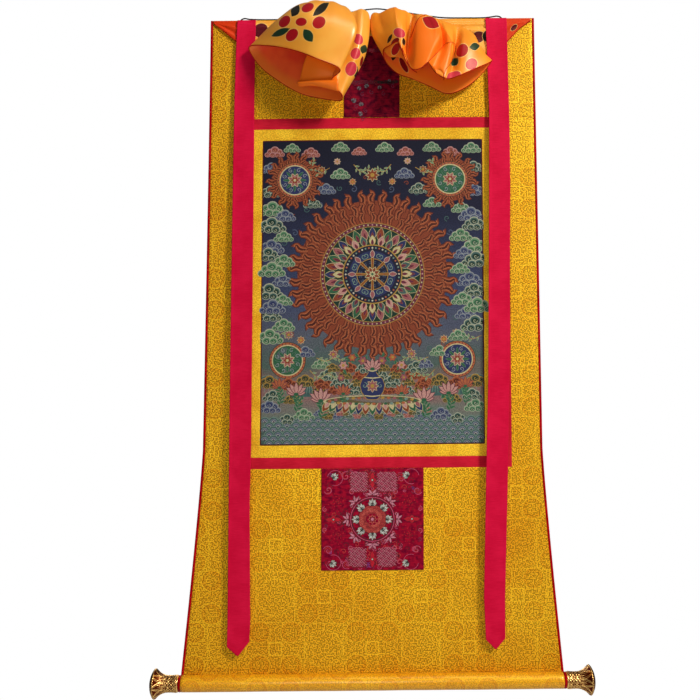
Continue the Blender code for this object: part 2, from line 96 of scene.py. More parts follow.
def makeLights():
    for name in ("high", "low", "upper", "back"):
        lamp = bpy.data.lights.new(name, "AREA")
        lamp.shape, lamp.size, lamp.energy = "DISK", light[name + "Size"], light[name + "Power"]
        lamp.color = light["colour"]
        item = addToScene(bpy.data.objects.new(name, lamp))
        item.location = light[name + "Place"]
        aim = Vector(light["aimAt"]) - item.location
        item.rotation_euler = aim.to_track_quat("-Z", "Y").to_euler()


# The hung cloth: every sewn piece is cut flat, and hang() puts it in place

cloth = {
    "topDrop": 22 * mm, "halfWidth": 299.3 * mm, "sideSpread": 4.2 * mm, "spreadPower": 1.5,
    "flareStart": 790 * mm, "flareReach": 34.3 * mm, "flarePower": 1.15,
    "rollerDown": 1193 * mm, "skew": 0.0092, "belly": 13 * mm, "sideDroop": 6 * mm,
    "wrapRadius": 15.7 * mm, "wrapTurn": math.radians(60), "seam": 0.3 * mm,
    "cell": 7 * mm,              # spacing of a sheet's points
    "edgeRows": (0.0, 0.5 * mm, 1.3 * mm, 2.6 * mm),  # its rows beside a sewn edge
    "edgeDip": 0.45 * mm, "dipReach": 2.2 * mm,  # how a turned-in edge rounds away
    "wrapRows": 10, "areaSteps": 40,  # a sheet's rows round the roller, and its cuts when measured
}


def smoothStep(value):
    value = min(max(value, 0.0), 1.0)
    return value * value * (3 - 2 * value)


def halfWidth(down):
    spread = min(max(down / cloth["flareStart"], 0.0), 1.0)
    run = cloth["rollerDown"] - cloth["flareStart"]
    flare = min(max((down - cloth["flareStart"]) / run, 0.0), 1.0)
    return (cloth["halfWidth"] + cloth["sideSpread"] * spread ** cloth["spreadPower"]
            + cloth["flareReach"] * flare ** cloth["flarePower"])


def clothBack(across, down):
    fullness = math.sin(math.pi * min(max(down / cloth["rollerDown"], 0.0), 1.0))
    side = across / halfWidth(down)
    left = smoothStep((-side - 0.5) / 0.5)
    return fullness * (cloth["sideDroop"] * left - cloth["belly"] * (1 - 0.5 * side * side))


def hang(across, down, lift=0.0):
    if down <= cloth["rollerDown"]:
        back = clothBack(across, down) - lift
        height = -cloth["topDrop"] - down
    else:
        turn = (down - cloth["rollerDown"]) / cloth["wrapRadius"]
        radius = cloth["wrapRadius"] - lift
        back = radius * math.cos(turn) - cloth["wrapRadius"]
        height = -cloth["topDrop"] - cloth["rollerDown"] - radius * math.sin(turn)
    return Vector((across, back, height + cloth["skew"] * across))


def hangUp(across, up, out):
    return hang(across, cloth["skew"] * across - up, out)


def splinePoint(points, position):
    place = min(max(position, 0.0), 1.0) * (len(points) - 1)
    index = min(int(place), len(points) - 2)
    here, there = points[index], points[index + 1]
    before = points[index - 1] if index else here * 2 - there
    after = points[index + 2] if index + 2 < len(points) else there * 2 - here
    return blendFour(before, here, there, after, place - index)


def loopPoint(points, position):
    place = (position % 1.0) * len(points)
    index = int(place)
    four = [points[(index + step) % len(points)] for step in (-1, 0, 1, 2)]
    return blendFour(*four, place - index)


def blendFour(before, here, there, after, share):
    knots = [0.0]
    for start, end in ((before, here), (here, there), (there, after)):
        knots.append(knots[-1] + max((end - start).length, 1e-6) ** 0.5)
    at = knots[1] + (knots[2] - knots[1]) * share

    def mix(start, end, low, high):
        return start + (end - start) * ((at - low) / (high - low))

    first = mix(before, here, knots[0], knots[1])
    second = mix(here, there, knots[1], knots[2])
    third = mix(there, after, knots[2], knots[3])
    return mix(mix(first, second, knots[0], knots[2]), mix(second, third, knots[1], knots[3]),
               knots[1], knots[2])


def runLengths(points):
    # how far along a line each of its points lies
    lengths = [0.0]
    for here, there in zip(points, points[1:]):
        lengths.append(lengths[-1] + (there - here).length)
    return lengths


def spacedPlaces(line, count, closed=False):
    # points spaced evenly along a line of straight stretches
    lengths, places, index = runLengths(line), [], 0
    for number in range(count if closed else count + 1):
        wanted = lengths[-1] * number / count
        while index < len(line) - 2 and lengths[index + 1] < wanted:
            index += 1
        share = (wanted - lengths[index]) / max(lengths[index + 1] - lengths[index], 1e-9)
        places.append(line[index].lerp(line[index + 1], min(share, 1.0)))
    return places


def evenPlaces(route, count, fine=800):
    return spacedPlaces([splinePoint(route, share) for share in evenShares(fine)], count - 1)


def evenShares(count, ring=False):
    # from 0 to 1, and without the 1 where a ring meets its own start
    return [step / count for step in range(count if ring else count + 1)]


# Finishes: node trees written as Python sums

def dye(red, green, blue):
    # a colour by its usual values from 0 to 255
    return tuple((value / 255) ** 2.2 for value in (red, green, blue))


class Value:
    def __init__(self, finish, socket):
        self.finish, self.socket = finish, socket

    def __add__(self, other): return self.finish.math("ADD", self, other)
    def __radd__(self, other): return self.finish.math("ADD", other, self)
    def __sub__(self, other): return self.finish.math("SUBTRACT", self, other)
    def __rsub__(self, other): return self.finish.math("SUBTRACT", other, self)
    def __mul__(self, other): return self.finish.math("MULTIPLY", self, other)
    def __rmul__(self, other): return self.finish.math("MULTIPLY", other, self)
    def __truediv__(self, other): return self.finish.math("DIVIDE", self, other)
    def __rtruediv__(self, other): return self.finish.math("DIVIDE", other, self)
    def __abs__(self): return self.finish.math("ABSOLUTE", self)


class Nodes:
    def __init__(self, tree):
        self.tree = tree

    def plug(self, socket, value):
        if isinstance(value, Value):
            self.tree.links.new(value.socket, socket)
        else:
            socket.default_value = value

    def node(self, kind, settings=(), sockets=(), output=0):
        made = self.tree.nodes.new("ShaderNode" + kind)
        for name, value in dict(settings).items():
            if name == "stops":
                self.fillRamp(made.color_ramp, value)
            else:
                setattr(made, name, value)
        for name, value in dict(sockets).items():
            self.plug(made.inputs[name], value)
        return Value(self, made.outputs[output])

    def fillRamp(self, ramp, stops):
        while len(ramp.elements) < len(stops):
            ramp.elements.new(1.0)
        for element, (place, colour) in zip(ramp.elements, stops):
            element.position, element.color = place, (*colour, 1.0)

    def math(self, operation, *values):
        return self.node("Math", {"operation": operation}, dict(enumerate(values)))

    def vector(self, operation, *values, output=0):
        return self.node("VectorMath", {"operation": operation}, dict(enumerate(values)), output)

    def mix(self, share, low, high):
        low, high = (value if isinstance(value, Value) else (*value, 1.0) for value in (low, high))
        return self.node("Mix", {"data_type": "RGBA"}, {0: share, 6: low, 7: high}, 2)

    def step(self, value, low, high):
        # 0 below low, 1 above high, smooth between
        return self.node("MapRange", {"interpolation_type": "SMOOTHSTEP"},
                         {"Value": value, "From Min": low, "From Max": high})

    def flat(self):
        return self.node("UVMap", {"uv_map": "flat"})

    def parts(self, vector):
        split = self.node("SeparateXYZ", {}, {0: vector})
        return [Value(self, output) for output in split.socket.node.outputs]

    def noise(self, where, scale, detail=2.0, size="2D"):
        return self.node("TexNoise", {"noise_dimensions": size},
                         {"Vector": where, "Scale": scale, "Detail": detail})


finishes = {}


class Finish(Nodes):
    # one material: a Principled shader, steady values set on its sockets
    def __init__(self, name, steady):
        finishes[name] = material = bpy.data.materials.new(name)
        material.use_nodes = True
        super().__init__(material.node_tree)
        self.shader = self.tree.nodes["Principled BSDF"]
        for socket, value in steady.items():
            self.shader.inputs[socket].default_value = value

    def where(self):
        return self.node("TexCoord", {}, {}, 3)

    def show(self, socket, value):
        self.plug(self.shader.inputs[socket], value)

    def bump(self, height, depth, strength=1.0):
        self.show("Normal", self.node("Bump", {}, {"Height": height, "Distance": depth,
                                                   "Strength": strength}))


def makeWorld():
    # white behind the object; the light of the room fades towards the floor
    world = bpy.data.worlds.new("studio")
    world.use_nodes = True
    bpy.context.scene.world = world
    air, seen = Nodes(world.node_tree), world.node_tree.nodes["Background"]
    seen.inputs["Color"].default_value = (1.0, 1.0, 1.0, 1.0)
    seen.inputs["Strength"].default_value = light["background"]
    height, (low, high) = air.parts(air.node("TexCoord"))[2], light["roomFade"]
    glow = air.node("MapRange", {}, {"Value": height, "From Min": low, "From Max": high,
                                     "To Min": light["roomBelow"], "To Max": light["roomAbove"]})
    room = air.node("Background", {}, {"Strength": glow})
    both = air.node("MixShader", {}, {0: air.node("LightPath"), 1: room,
                                      2: Value(air, seen.outputs[0])})
    air.plug(world.node_tree.nodes["World Output"].inputs["Surface"], both)


makeCamera()
makeLights()
makeWorld()
print("camera and lights ready")

brocadeLook = {
    "light": dye(255, 196, 44), "deep": dye(228, 140, 26), "grainDeep": dye(104, 40, 6),
    "repeat": 171 * mm, "drop": 180 * mm, "medallionDown": 149 * mm, "grain": 420.0,
    "squareHalf": 11 * mm, "frameAcross": 34 * mm, "frameDown": 44 * mm,
    "roundAcross": 28 * mm, "roundDown": 29 * mm, "round": 18.5 * mm, "medallion": 32 * mm,
    "ringPitch": 6.6 * mm, "worn": 7.0,
}
mazeEdges = (0.41, 0.59)  # where a noise is cut into a maze of threads


def makeBrocade(name, grainShare, coat):
    # damask: round medallions in square frames, and small squares each among four rounds
    look = brocadeLook
    silk = Finish(name, {"Metallic": 0.15, "IOR": 1.8, "Specular IOR Level": 0.9,
                         "Specular Tint": (0.85, 0.80, 0.05, 1.0), "Coat Weight": coat,
                         "Coat Roughness": 0.3, "Coat Tint": (1.0, 0.86, 0.3, 1.0)})
    flat = silk.flat()
    across, down = silk.parts(flat)[:2]
    halfAcross, halfDown = look["repeat"] / 2, look["drop"] / 2
    down = down - look["medallionDown"]

    def fold(value, repeat):
        return abs(silk.math("WRAP", value, repeat / 2, -repeat / 2))

    side, drop = fold(across, look["repeat"]), fold(down, look["drop"])
    farSide, farDrop = halfAcross - side, halfDown - drop  # the same from a staggered medallion

    def either(first, second):
        return silk.math("MINIMUM", first, second)

    def away(acrossMiddle, downMiddle, x, y):
        x, y = abs(acrossMiddle - x), abs(downMiddle - y)
        return silk.math("SQRT", x * x + y * y)

    def line(distance, at, half):
        return 1 - silk.step(abs(distance - at), half * 0.5, half * 1.6)

    def boxAway(x, y, halfX, halfY):
        return silk.math("MAXIMUM", x - halfX, y - halfY)

    def nearest(shape, places, x, y):
        return either(*(shape(*place, x, y) for place in places))

    # the squares lie midway between two medallions of a row, and of a column
    middles, midway = ((side, drop), (farSide, farDrop)), ((farSide, drop), (side, farDrop))
    medallion = nearest(away, middles, 0, 0)
    small = nearest(away, midway, look["roundAcross"], look["roundDown"])
    square = nearest(boxAway, midway, look["squareHalf"], look["squareHalf"])
    frame = nearest(boxAway, middles, look["frameAcross"], look["frameDown"])
    lines = line(medallion, look["medallion"], 1.0 * mm) * 0.6
    for more in (line(small, look["round"], 0.9 * mm) * 0.7, line(square, 0.0, 1.0 * mm),
                 line(frame, 0.0, 0.9 * mm) * 0.6):
        lines = silk.math("MAXIMUM", lines, more)
    # the rounds are deeper near their rims, and everything but the lines is a maze of threads
    rim = silk.step(small, look["round"] * 0.5, look["round"] * 0.9)
    rim = rim * (1 - silk.step(small, look["round"] * 0.92, look["round"] * 0.98))
    rings = silk.math("SINE", either(medallion, small) * (2 * math.pi / look["ringPitch"])) * 0.5
    grain = silk.noise(flat, look["grain"], 0.0)
    maze = silk.step(grain, *mazeEdges)
    worn = silk.noise(flat, look["worn"], 3.0)
    tone = 0.50 + rings * 0.14 + lines * 0.34 - rim * 0.26 + (worn - 0.5) * 0.7
    cover = silk.mix(silk.step(tone, 0.0, 1.0), look["deep"], look["light"])
    silk.show("Base Color", silk.mix((1 - maze) * (1 - lines * 0.6) * grainShare, cover,
                                     look["grainDeep"]))
    silk.show("Roughness", 0.46 - lines * 0.06 + (1 - maze) * 0.12)
    silk.bump(maze * 0.6 + lines * 0.4, 0.3 * mm, 0.8)


plainLooks = {
    "crimson": {"colour": dye(198, 36, 56), "shade": dye(174, 28, 46), "rough": 0.55},
    "ribbon": {"colour": dye(206, 28, 64), "shade": dye(190, 20, 54), "rough": 0.55},
    "yellow": {"colour": dye(252, 204, 58), "shade": dye(226, 164, 42), "rough": 0.42,
               "metal": 0.1, "grain": 0.4},
    "piping": {"colour": dye(180, 16, 28), "shade": dye(126, 8, 16), "rough": 0.45},
    "thread": {"colour": dye(200, 52, 30), "shade": dye(140, 24, 18), "rough": 0.6},
    "cord": {"colour": dye(50, 40, 38), "shade": dye(26, 20, 18), "rough": 0.7},
    "patch": {"colour": dye(156, 24, 46), "shade": dye(92, 14, 40), "rough": 0.6,
              "mottle": 150.0},
    "patchDark": {"colour": dye(128, 22, 40), "shade": dye(56, 10, 30), "rough": 0.6,
                  "mottle": 110.0},
}


def makePlain(name):
    # plain silk: fine ribs across the weft, with soft uneven patches
    look, weave = plainLooks[name], 900.0  # threads to the metre
    silk = Finish(name + "Silk", {"Metallic": look.get("metal", 0.0), "Specular IOR Level": 0.3,
                                  "Specular Tint": (*look["colour"], 1.0)})
    flat = silk.flat()
    across, down = silk.parts(flat)[:2]
    ribs = silk.math("SINE", down * (2 * math.pi * weave)) * 0.5 + 0.5
    threads = silk.math("SINE", across * (2 * math.pi * weave * 0.7)) * 0.5 + 0.5
    uneven = silk.noise(flat, look.get("mottle", 26.0), 4.0)
    slub = silk.noise(silk.vector("MULTIPLY", flat, (60.0, 700.0, 1.0)), 1.0, 2.0)
    share = silk.step(uneven * 0.6 + slub * 0.4, 0.3, 0.7)
    colour = silk.mix(share, look["shade"], look["colour"])
    if "grain" in look:
        grain = 1 - silk.step(silk.noise(flat, brocadeLook["grain"], 0.0), *mazeEdges)
        darker = tuple(value * 0.4 for value in look["shade"])
        colour = silk.mix(grain * look["grain"], colour, darker)
    silk.show("Base Color", colour)
    silk.show("Roughness", look["rough"] + (ribs - 0.5) * 0.12)
    silk.bump(ribs * 0.6 + threads * 0.4 + slub * 0.5, 0.12 * mm, 0.7)


makeBrocade("brocade", 0.75, 0.0)
makeBrocade("rollerBrocade", 0.4, 0.6)  # drawn tight, it shines more; its smaller share of dark grain makes it a lighter copy of the brocade: painted light
for plainName in plainLooks:
    makePlain(plainName)
print("cloth finishes ready")

# Making pieces

def meshPiece(name, points, faces, uvs=None, looks=(), smooth=True):
    # uvs holds the place on the flat cloth, in metres, of each face's corners
    mesh = bpy.data.meshes.new(name)
    mesh.from_pydata(points, [], faces)
    if uvs:
        layer = mesh.uv_layers.new(name="flat")
        for face, corners in zip(mesh.polygons, uvs):
            for loop, corner in zip(face.loop_indices, corners):
                layer.data[loop].uv = corner
    for look in looks:
        mesh.materials.append(finishes[look])
    if smooth:
        mesh.shade_smooth()
    mesh.update()
    return addToScene(bpy.data.objects.new(name, mesh))


def gridPiece(name, place, sides, lengths, looks, uv, closed=0):
    # place(side, length) gives a point; sides and lengths are the rows' own values, and
    # closed is how far round the side runs before it meets its start again
    points = [place(side, length) for length in lengths for side in sides]
    count, uvs, faces = len(sides), [], []
    for row in range(len(lengths) - 1):
        for column in range(count if closed else count - 1):
            here, there = row * count + column, row * count + (column + 1) % count
            faces.append((here, here + count, there + count, there))
            start = sides[column]
            end = sides[column + 1] if column + 1 < count else sides[0] + closed
            uvs.append((uv(start, lengths[row]), uv(start, lengths[row + 1]),
                        uv(end, lengths[row + 1]), uv(end, lengths[row])))
    return meshPiece(name, points, faces, uvs, looks)


def thicken(item, thickness, lining=0):
    # half of it on each side; lining 1 gives the reverse its second look
    solidify = item.modifiers.new("cloth", "SOLIDIFY")
    solidify.thickness, solidify.offset = thickness, 0.0
    solidify.material_offset = solidify.material_offset_rim = lining


def onBody(item, node, slot):
    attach(item, "root")
    if node:
        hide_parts(node)


def edgedPlaces(start, end, cell):
    # even places from start to end, with extra ones beside both ends
    rows = [row for row in cloth["edgeRows"] if row < (end - start) / 2.5]
    first, last = start + rows[-1], end - rows[-1]
    count = max(1, round((last - first) / cell))
    inner = [first + (last - first) * step / count for step in range(1, count)]
    return [start + row for row in rows] + inner + [end - row for row in reversed(rows)]


def sewnSheet(name, node, look, slot, left, right, top, foot, thickness, lift=0.0,
              back=None):
    cell, wrapRows = cloth["cell"], cloth["wrapRows"]
    flatFoot = min(foot, cloth["rollerDown"])
    downs = edgedPlaces(top, flatFoot, cell)
    if foot > cloth["rollerDown"]:
        downs += [flatFoot + (foot - flatFoot) * (step + 1) / wrapRows for step in range(wrapRows)]
    width = right(top) - left(top)
    shares = [place / width for place in edgedPlaces(0.0, width, cell)]

    def place(side, down):
        start, end = left(down), right(down)
        across = start + (end - start) * side
        edge = min(across - start, end - across, down - top, max(foot - down, 0.0))
        dip = cloth["edgeDip"] * max(0.0, 1 - edge / cloth["dipReach"]) ** 2
        return hang(across, down, lift - dip)

    def uv(side, down):
        return (left(down) + (right(down) - left(down)) * side, down)

    item = gridPiece(name, place, shares, downs, [look, back] if back else [look], uv)
    thicken(item, thickness, lining=1 if back else 0)
    onBody(item, node, slot)
    widest = max(right(down) - left(down) for down in (top, foot))
    steps = cloth["areaSteps"]
    area = sum((right(down) - left(down)) * (foot - top) / steps
               for down in (top + (foot - top) * (step + 0.5) / steps for step in range(steps)))
    flat = (widest, foot - top)
    min(area, widest * (foot - top))


mounting = {
    "brocadeThick": 2.0 * mm, "stripThick": 2.0 * mm, "paintingThick": 1.4 * mm,
    "patchThick": 1.2 * mm, "patchGap": 0.4 * mm, "bindingThick": 2.4 * mm,
    "bindingWidth": 4.5 * mm, "bindingCut": 12 * mm, "bindingCells": (14, 180),
    "redOuter": 248 * mm, "redInner": 224 * mm,
    "paintingHalf": 200 * mm, "redTop": 187.7 * mm, "yellowTop": 207.9 * mm,
    "paintingTop": 229.3 * mm, "paintingFoot": 782.6 * mm, "yellowFoot": 804.3 * mm,
    "redFoot": 824.4 * mm, "upperPatch": (-52 * mm, 49.5 * mm, 12 * mm),
    "lowerPatchHalf": 90.5 * mm, "lowerPatchFoot": 1003 * mm,
}


def steady(value):
    return lambda down: value


def sideEdge(sign, inset):
    return lambda down: sign * (halfWidth(down) - inset)


def makeMounting():
    cut, seam = mounting, cloth["seam"]
    half, gap = cut["paintingHalf"] - seam, cut["patchGap"]
    sewnSheet("paintedCloth", "painting", "canvas", "painted_cloth", steady(-half), steady(half),
              cut["paintingTop"], cut["paintingFoot"] - seam, cut["paintingThick"],
              back="canvasBack")
    wrapFoot = cloth["rollerDown"] + cloth["wrapRadius"] * cloth["wrapTurn"]
    leftSide = sideEdge(-1, cut["bindingWidth"] + seam)
    rightSide = sideEdge(1, cut["bindingWidth"] + seam)
    redOuter, sideFoot = cut["redOuter"] + seam, cut["redFoot"] - seam
    for name, node, left, right, top, foot in (
            ("brocadeTop", "brocade_top", leftSide, rightSide, 0.0, cut["redTop"] - seam),
            ("brocadeLeft", "brocade_left", leftSide, steady(-redOuter), cut["redTop"], sideFoot),
            ("brocadeRight", "brocade_right", steady(redOuter), rightSide, cut["redTop"],
             sideFoot),
            ("brocadeBottom", "brocade_bottom", leftSide, rightSide, cut["redFoot"], wrapFoot)):
        sewnSheet(name, node, "brocade", "gold_brocade", left, right, top, foot,
                  cut["brocadeThick"])
    makeStrips("redStrip", "red_strip", "crimsonSilk", "crimson_cloth", cut["redOuter"],
               cut["redInner"], cut["redTop"], cut["yellowTop"], cut["yellowFoot"], sideFoot)
    makeStrips("yellowStrip", "yellow_strip", "yellowSilk", "yellow_cloth", cut["redInner"] - seam,
               cut["paintingHalf"], cut["yellowTop"], cut["paintingTop"], cut["paintingFoot"],
               cut["yellowFoot"] - seam)
    makeBindings(wrapFoot)
    makePatches()


def makeStrips(name, node, look, slot, outer, inner, top, sideTop, sideFoot, foot):
    seam, thick = cloth["seam"], mounting["stripThick"]
    for end, left, right, start, finish in (
            ("Top", -outer, outer, top, sideTop - seam), ("Foot", -outer, outer, sideFoot, foot),
            ("Left", -outer, -inner, sideTop, sideFoot - seam),
            ("Right", inner, outer, sideTop, sideFoot - seam)):
        sewnSheet(name + end, node + "_" + end.lower(), look, slot, steady(left), steady(right),
                  start, finish, thick)


def makeBindings(foot):
    # the bound edge: a fold of red cloth, rounded like piping
    width, thick, cutWide = (mounting["binding" + key] for key in ("Width", "Thick", "Cut"))
    sides, count = mounting["bindingCells"]
    end, wrapRows = cloth["rollerDown"], cloth["wrapRows"]
    downs = [end * step / count for step in range(count + 1)]
    downs += [end + (foot - end) * (step + 1) / wrapRows for step in range(wrapRows)]
    for name, sign in bothSides:
        def place(side, down):
            turn = 2 * math.pi * side
            out = abs(math.sin(turn)) ** 0.8 * math.copysign(1, math.sin(turn)) * thick / 2
            inset = width / 2 * (1 - abs(math.cos(turn)) ** 0.7 * math.copysign(1, math.cos(turn)))
            return hang(sign * (halfWidth(down) - inset), down, out)

        shares = evenShares(sides, ring=True)
        if sign > 0:
            shares.reverse()
        item = gridPiece("binding" + name, place, shares, downs, ["pipingSilk"], closed=-sign,
                         uv=lambda side, down: (side * cutWide, down))
        closeEnds(item)
        onBody(item, "binding_" + name.lower(), "red_binding")
        cutWide * foot / 2  # folded double


def closeEnds(item):
    bm = bmesh.new()
    bm.from_mesh(item.data)
    bmesh.ops.holes_fill(bm, edges=bm.edges, sides=0)
    bmesh.ops.recalc_face_normals(bm, faces=bm.faces)
    bm.to_mesh(item.data)
    bm.free()
    item.data.shade_smooth()


# Painted and woven pictures: flat shapes in layers a hair apart

paints = {
    "navy": dye(34, 37, 62), "blue": dye(48, 56, 104), "slate": dye(86, 100, 132),
    "rustDark": dye(82, 38, 32), "rust": dye(142, 70, 48), "rustLight": dye(182, 104, 70),
    "green": dye(52, 102, 76), "greenLight": dye(104, 152, 118), "greenDark": dye(30, 58, 48),
    "teal": dye(70, 102, 104), "tealLight": dye(122, 152, 146), "pink": dye(160, 96, 104),
    "pinkLight": dye(202, 152, 150), "plum": dye(108, 46, 72), "cream": dye(206, 198, 156),
    "white": dye(212, 210, 196), "olive": dye(104, 94, 66), "gold": dye(182, 146, 72),
    "mist": dye(150, 158, 172), "pale": dye(178, 186, 168), "field": dye(176, 60, 56),
    "violet": dye(132, 62, 142), "core": dye(40, 52, 50), "maroon": dye(84, 26, 40),
    "coral": dye(204, 62, 58), "coralPale": dye(226, 108, 92), "rose": dye(206, 84, 118),
    "rosePale": dye(216, 132, 152),
    "wine": dye(134, 14, 38), "bright": dye(196, 18, 44), "silver": dye(208, 210, 200),
    "silverDark": dye(120, 112, 118),
}


def leafShape(length, width):
    # a pointed leaf or petal from its base at 0
    half = ((0.0, 0.22), (0.14, 0.62), (0.34, 0.95), (0.56, 0.95), (0.76, 0.62), (0.9, 0.26))
    upper = [(along * length, share * width / 2) for along, share in half]
    return upper + [(length, 0.0)] + [(along, -out) for along, out in reversed(upper)]


def turned(points, across, down, angle, size=1.0):
    # angle in degrees: 0 points to the right and 90 points up
    cosine, sine = math.cos(math.radians(angle)), math.sin(math.radians(angle))
    return [(across + size * (x * cosine - y * sine), down - size * (x * sine + y * cosine))
            for x, y in points]


def petal(x, y, angle, length, width, base=0):
    return turned([(base + px, py) for px, py in leafShape(length, width)], x, y, angle)


def spotAt(x, y, angle, out, aside=0):
    return turned([(out, aside)], x, y, angle)[0]


class Drawing:
    # places are in mm, across from the middle of the cloth and down from the drawing's top
    def __init__(self, top, lift):
        self.top, self.lift = top, lift
        self.points, self.faces, self.paints = [], [], []

    def add(self, outline, paint, layer):
        lift = self.lift + layer * 0.05 * mm
        self.points += [hang(x * mm, self.top + y * mm, lift) for x, y in outline]
        self.paints += [paints[paint]] * len(outline)

    def shape(self, outline, paint, layer):
        ahead = outline[1:] + outline[:1]
        if sum(a[0] * b[1] - b[0] * a[1] for a, b in zip(outline, ahead)) > 0:
            outline = outline[::-1]
        first = len(self.points)
        self.add(outline, paint, layer)
        self.faces.append(tuple(range(first, len(self.points))))

    def edged(self, outline, edge, fill, layer, rim=0.8):
        # a shape in one paint with an edge in another
        inner, count = [], len(outline)
        middle = [sum(point[axis] for point in outline) / count for axis in (0, 1)]
        for x, y in outline:
            away = math.hypot(x - middle[0], y - middle[1]) or 1.0
            share = max(0.1, 1 - rim / away)
            inner.append((middle[0] + (x - middle[0]) * share, middle[1] + (y - middle[1]) * share))
        self.shape(outline, edge, layer)
        self.shape(inner, fill, layer + 0.2)

    def disc(self, x, y, radius, paint, layer, sides=18, squash=1.0):
        turns = [2 * math.pi * step / sides for step in range(sides)]
        self.shape([(x + radius * math.cos(turn), y + radius * squash * math.sin(turn))
                    for turn in turns], paint, layer)

    def stroke(self, line, widths, paint, layer, steps=10):
        # a brush stroke along a smooth line, its width worked out between the ones given
        marks = [Vector((x, y, 0.0)) for x, y in line]
        spots = [splinePoint(marks, step / steps) for step in range(steps + 1)]
        first = len(self.points)
        for step, spot in enumerate(spots):
            ahead = (spots[min(step + 1, steps)] - spots[max(step - 1, 0)]).normalized()
            place = step / steps * (len(widths) - 1)
            low = min(int(place), len(widths) - 2)
            half = (widths[low] + (widths[low + 1] - widths[low]) * (place - low)) / 2
            self.add([(spot.x - ahead.y * half, spot.y + ahead.x * half),
                      (spot.x + ahead.y * half, spot.y - ahead.x * half)], paint, layer)
        self.faces += [(first + 2 * step, first + 2 * step + 2, first + 2 * step + 3,
                        first + 2 * step + 1) for step in range(steps)]

    def ring(self, x, y, inner, outer, paint, layer, start=0.0, end=360.0, sides=None):
        sides = sides or max(8, round(outer * math.radians(end - start) / 5))
        first = len(self.points)
        for step in range(sides + 1):
            turn = math.radians(start + (end - start) * step / sides)
            self.add([(x + radius * math.cos(turn), y - radius * math.sin(turn))
                      for radius in (inner, outer)], paint, layer)
        self.faces += [(first + 2 * step, first + 2 * step + 1, first + 2 * step + 3,
                        first + 2 * step + 2) for step in range(sides)]

    def curl(self, x, y, radius, paint, layer, start=0.0, turns=1.3, width=0.9):
        # a spiral that closes on its own middle
        line = []
        for step in range(13):
            share = step / 12
            turn, reach = math.radians(start) + 2 * math.pi * turns * share, radius * (1 - share)
            line.append((x + reach * math.cos(turn), y - reach * math.sin(turn)))
        self.stroke(line, (width, width * 1.1, width * 0.4), paint, layer, 20)

    def flower(self, x, y, size, paint, edge, heart, layer, petals=8, turn=0.0):
        for step in range(petals):
            angle = turn + 360 * step / petals
            leaf = petal(x, y, angle, size, size * 4.4 / petals)
            self.edged(leaf, edge, paint, layer + 0.1 * (step % 2), size * 0.09)
        self.disc(x, y, size * 0.3, heart, layer + 0.6, 12)

    def lotus(self, x, y, size, paint, edge, layer):
        # a lotus from its side, on its base at x, y
        for step, angle in enumerate((8, 172, 32, 148, 58, 122, 90)):
            leaf = petal(x, y, angle, size * (0.8 if step < 2 else 1), size * 0.42)
            self.edged(leaf, edge, paint, layer + 0.4 * step / 2, size * 0.06)
        self.disc(x, y + size * 0.03, size * 0.2, "green", layer + 1.6, 12, 0.7)

    def cloud(self, x, y, size, tone, layer, flip=1):
        # heaped domes, each with a pale rim and a curl
        rim, light, deep = cloudTones[tone]
        for step, (side, up, reach) in enumerate((
                (-1.02, 0.28, 0.42), (1.0, 0.3, 0.40), (-0.58, -0.16, 0.5), (0.6, -0.12, 0.48),
                (0.0, -0.42, 0.56), (-0.3, 0.3, 0.46), (0.38, 0.34, 0.42))):
            dome, over, radius = x + flip * side * size, y + up * size, reach * size
            at = layer + 0.5 * step / 2
            self.disc(dome, over, radius, rim, at, 16, 0.86)
            self.disc(dome, over + radius * 0.06, radius * 0.84, light, at + 0.08, 14, 0.84)
            self.disc(dome, over + radius * 0.14, radius * 0.62, deep, at + 0.16, 12, 0.8)
            self.curl(dome, over + radius * 0.12, radius * 0.42, rim, at + 0.22,
                      90 + 90 * flip, 1.1 * flip, size * 0.055)

    def leafSpray(self, line, size, leaf, edge, stem, layer):
        # a curved stem with leaves by turns on its two sides
        marks = [Vector((x, y, 0.0)) for x, y in line]
        self.stroke(line, (1.2, 1.0, 0.6), stem, layer, 16)
        for step in range(1, 10):
            spot, ahead = splinePoint(marks, step / 10), splinePoint(marks, step / 10 + 0.02)
            angle = math.degrees(math.atan2(spot.y - ahead.y, ahead.x - spot.x))
            side = 1 if step % 2 else -1
            blade = petal(spot.x, spot.y, angle + side * 48, size, size * 0.42)
            self.edged(blade, edge, leaf, layer + 0.3, size * 0.07)

    def finish(self, name, look, slot):
        item = meshPiece(name, self.points, self.faces, looks=[look])
        layer = item.data.color_attributes.new("paint", "FLOAT_COLOR", "POINT")
        for entry, paint in zip(layer.data, self.paints):
            entry.color = (*paint, 1.0)
        onBody(item, None, slot)


cloudTones = {
    "green": ("pale", "greenLight", "green"), "blue": ("mist", "slate", "blue"),
    "pink": ("pinkLight", "pink", "rust"), "teal": ("pale", "teal", "greenDark"),
    "olive": ("gold", "olive", "greenDark"), "rust": ("rustLight", "rust", "rustDark"),
}
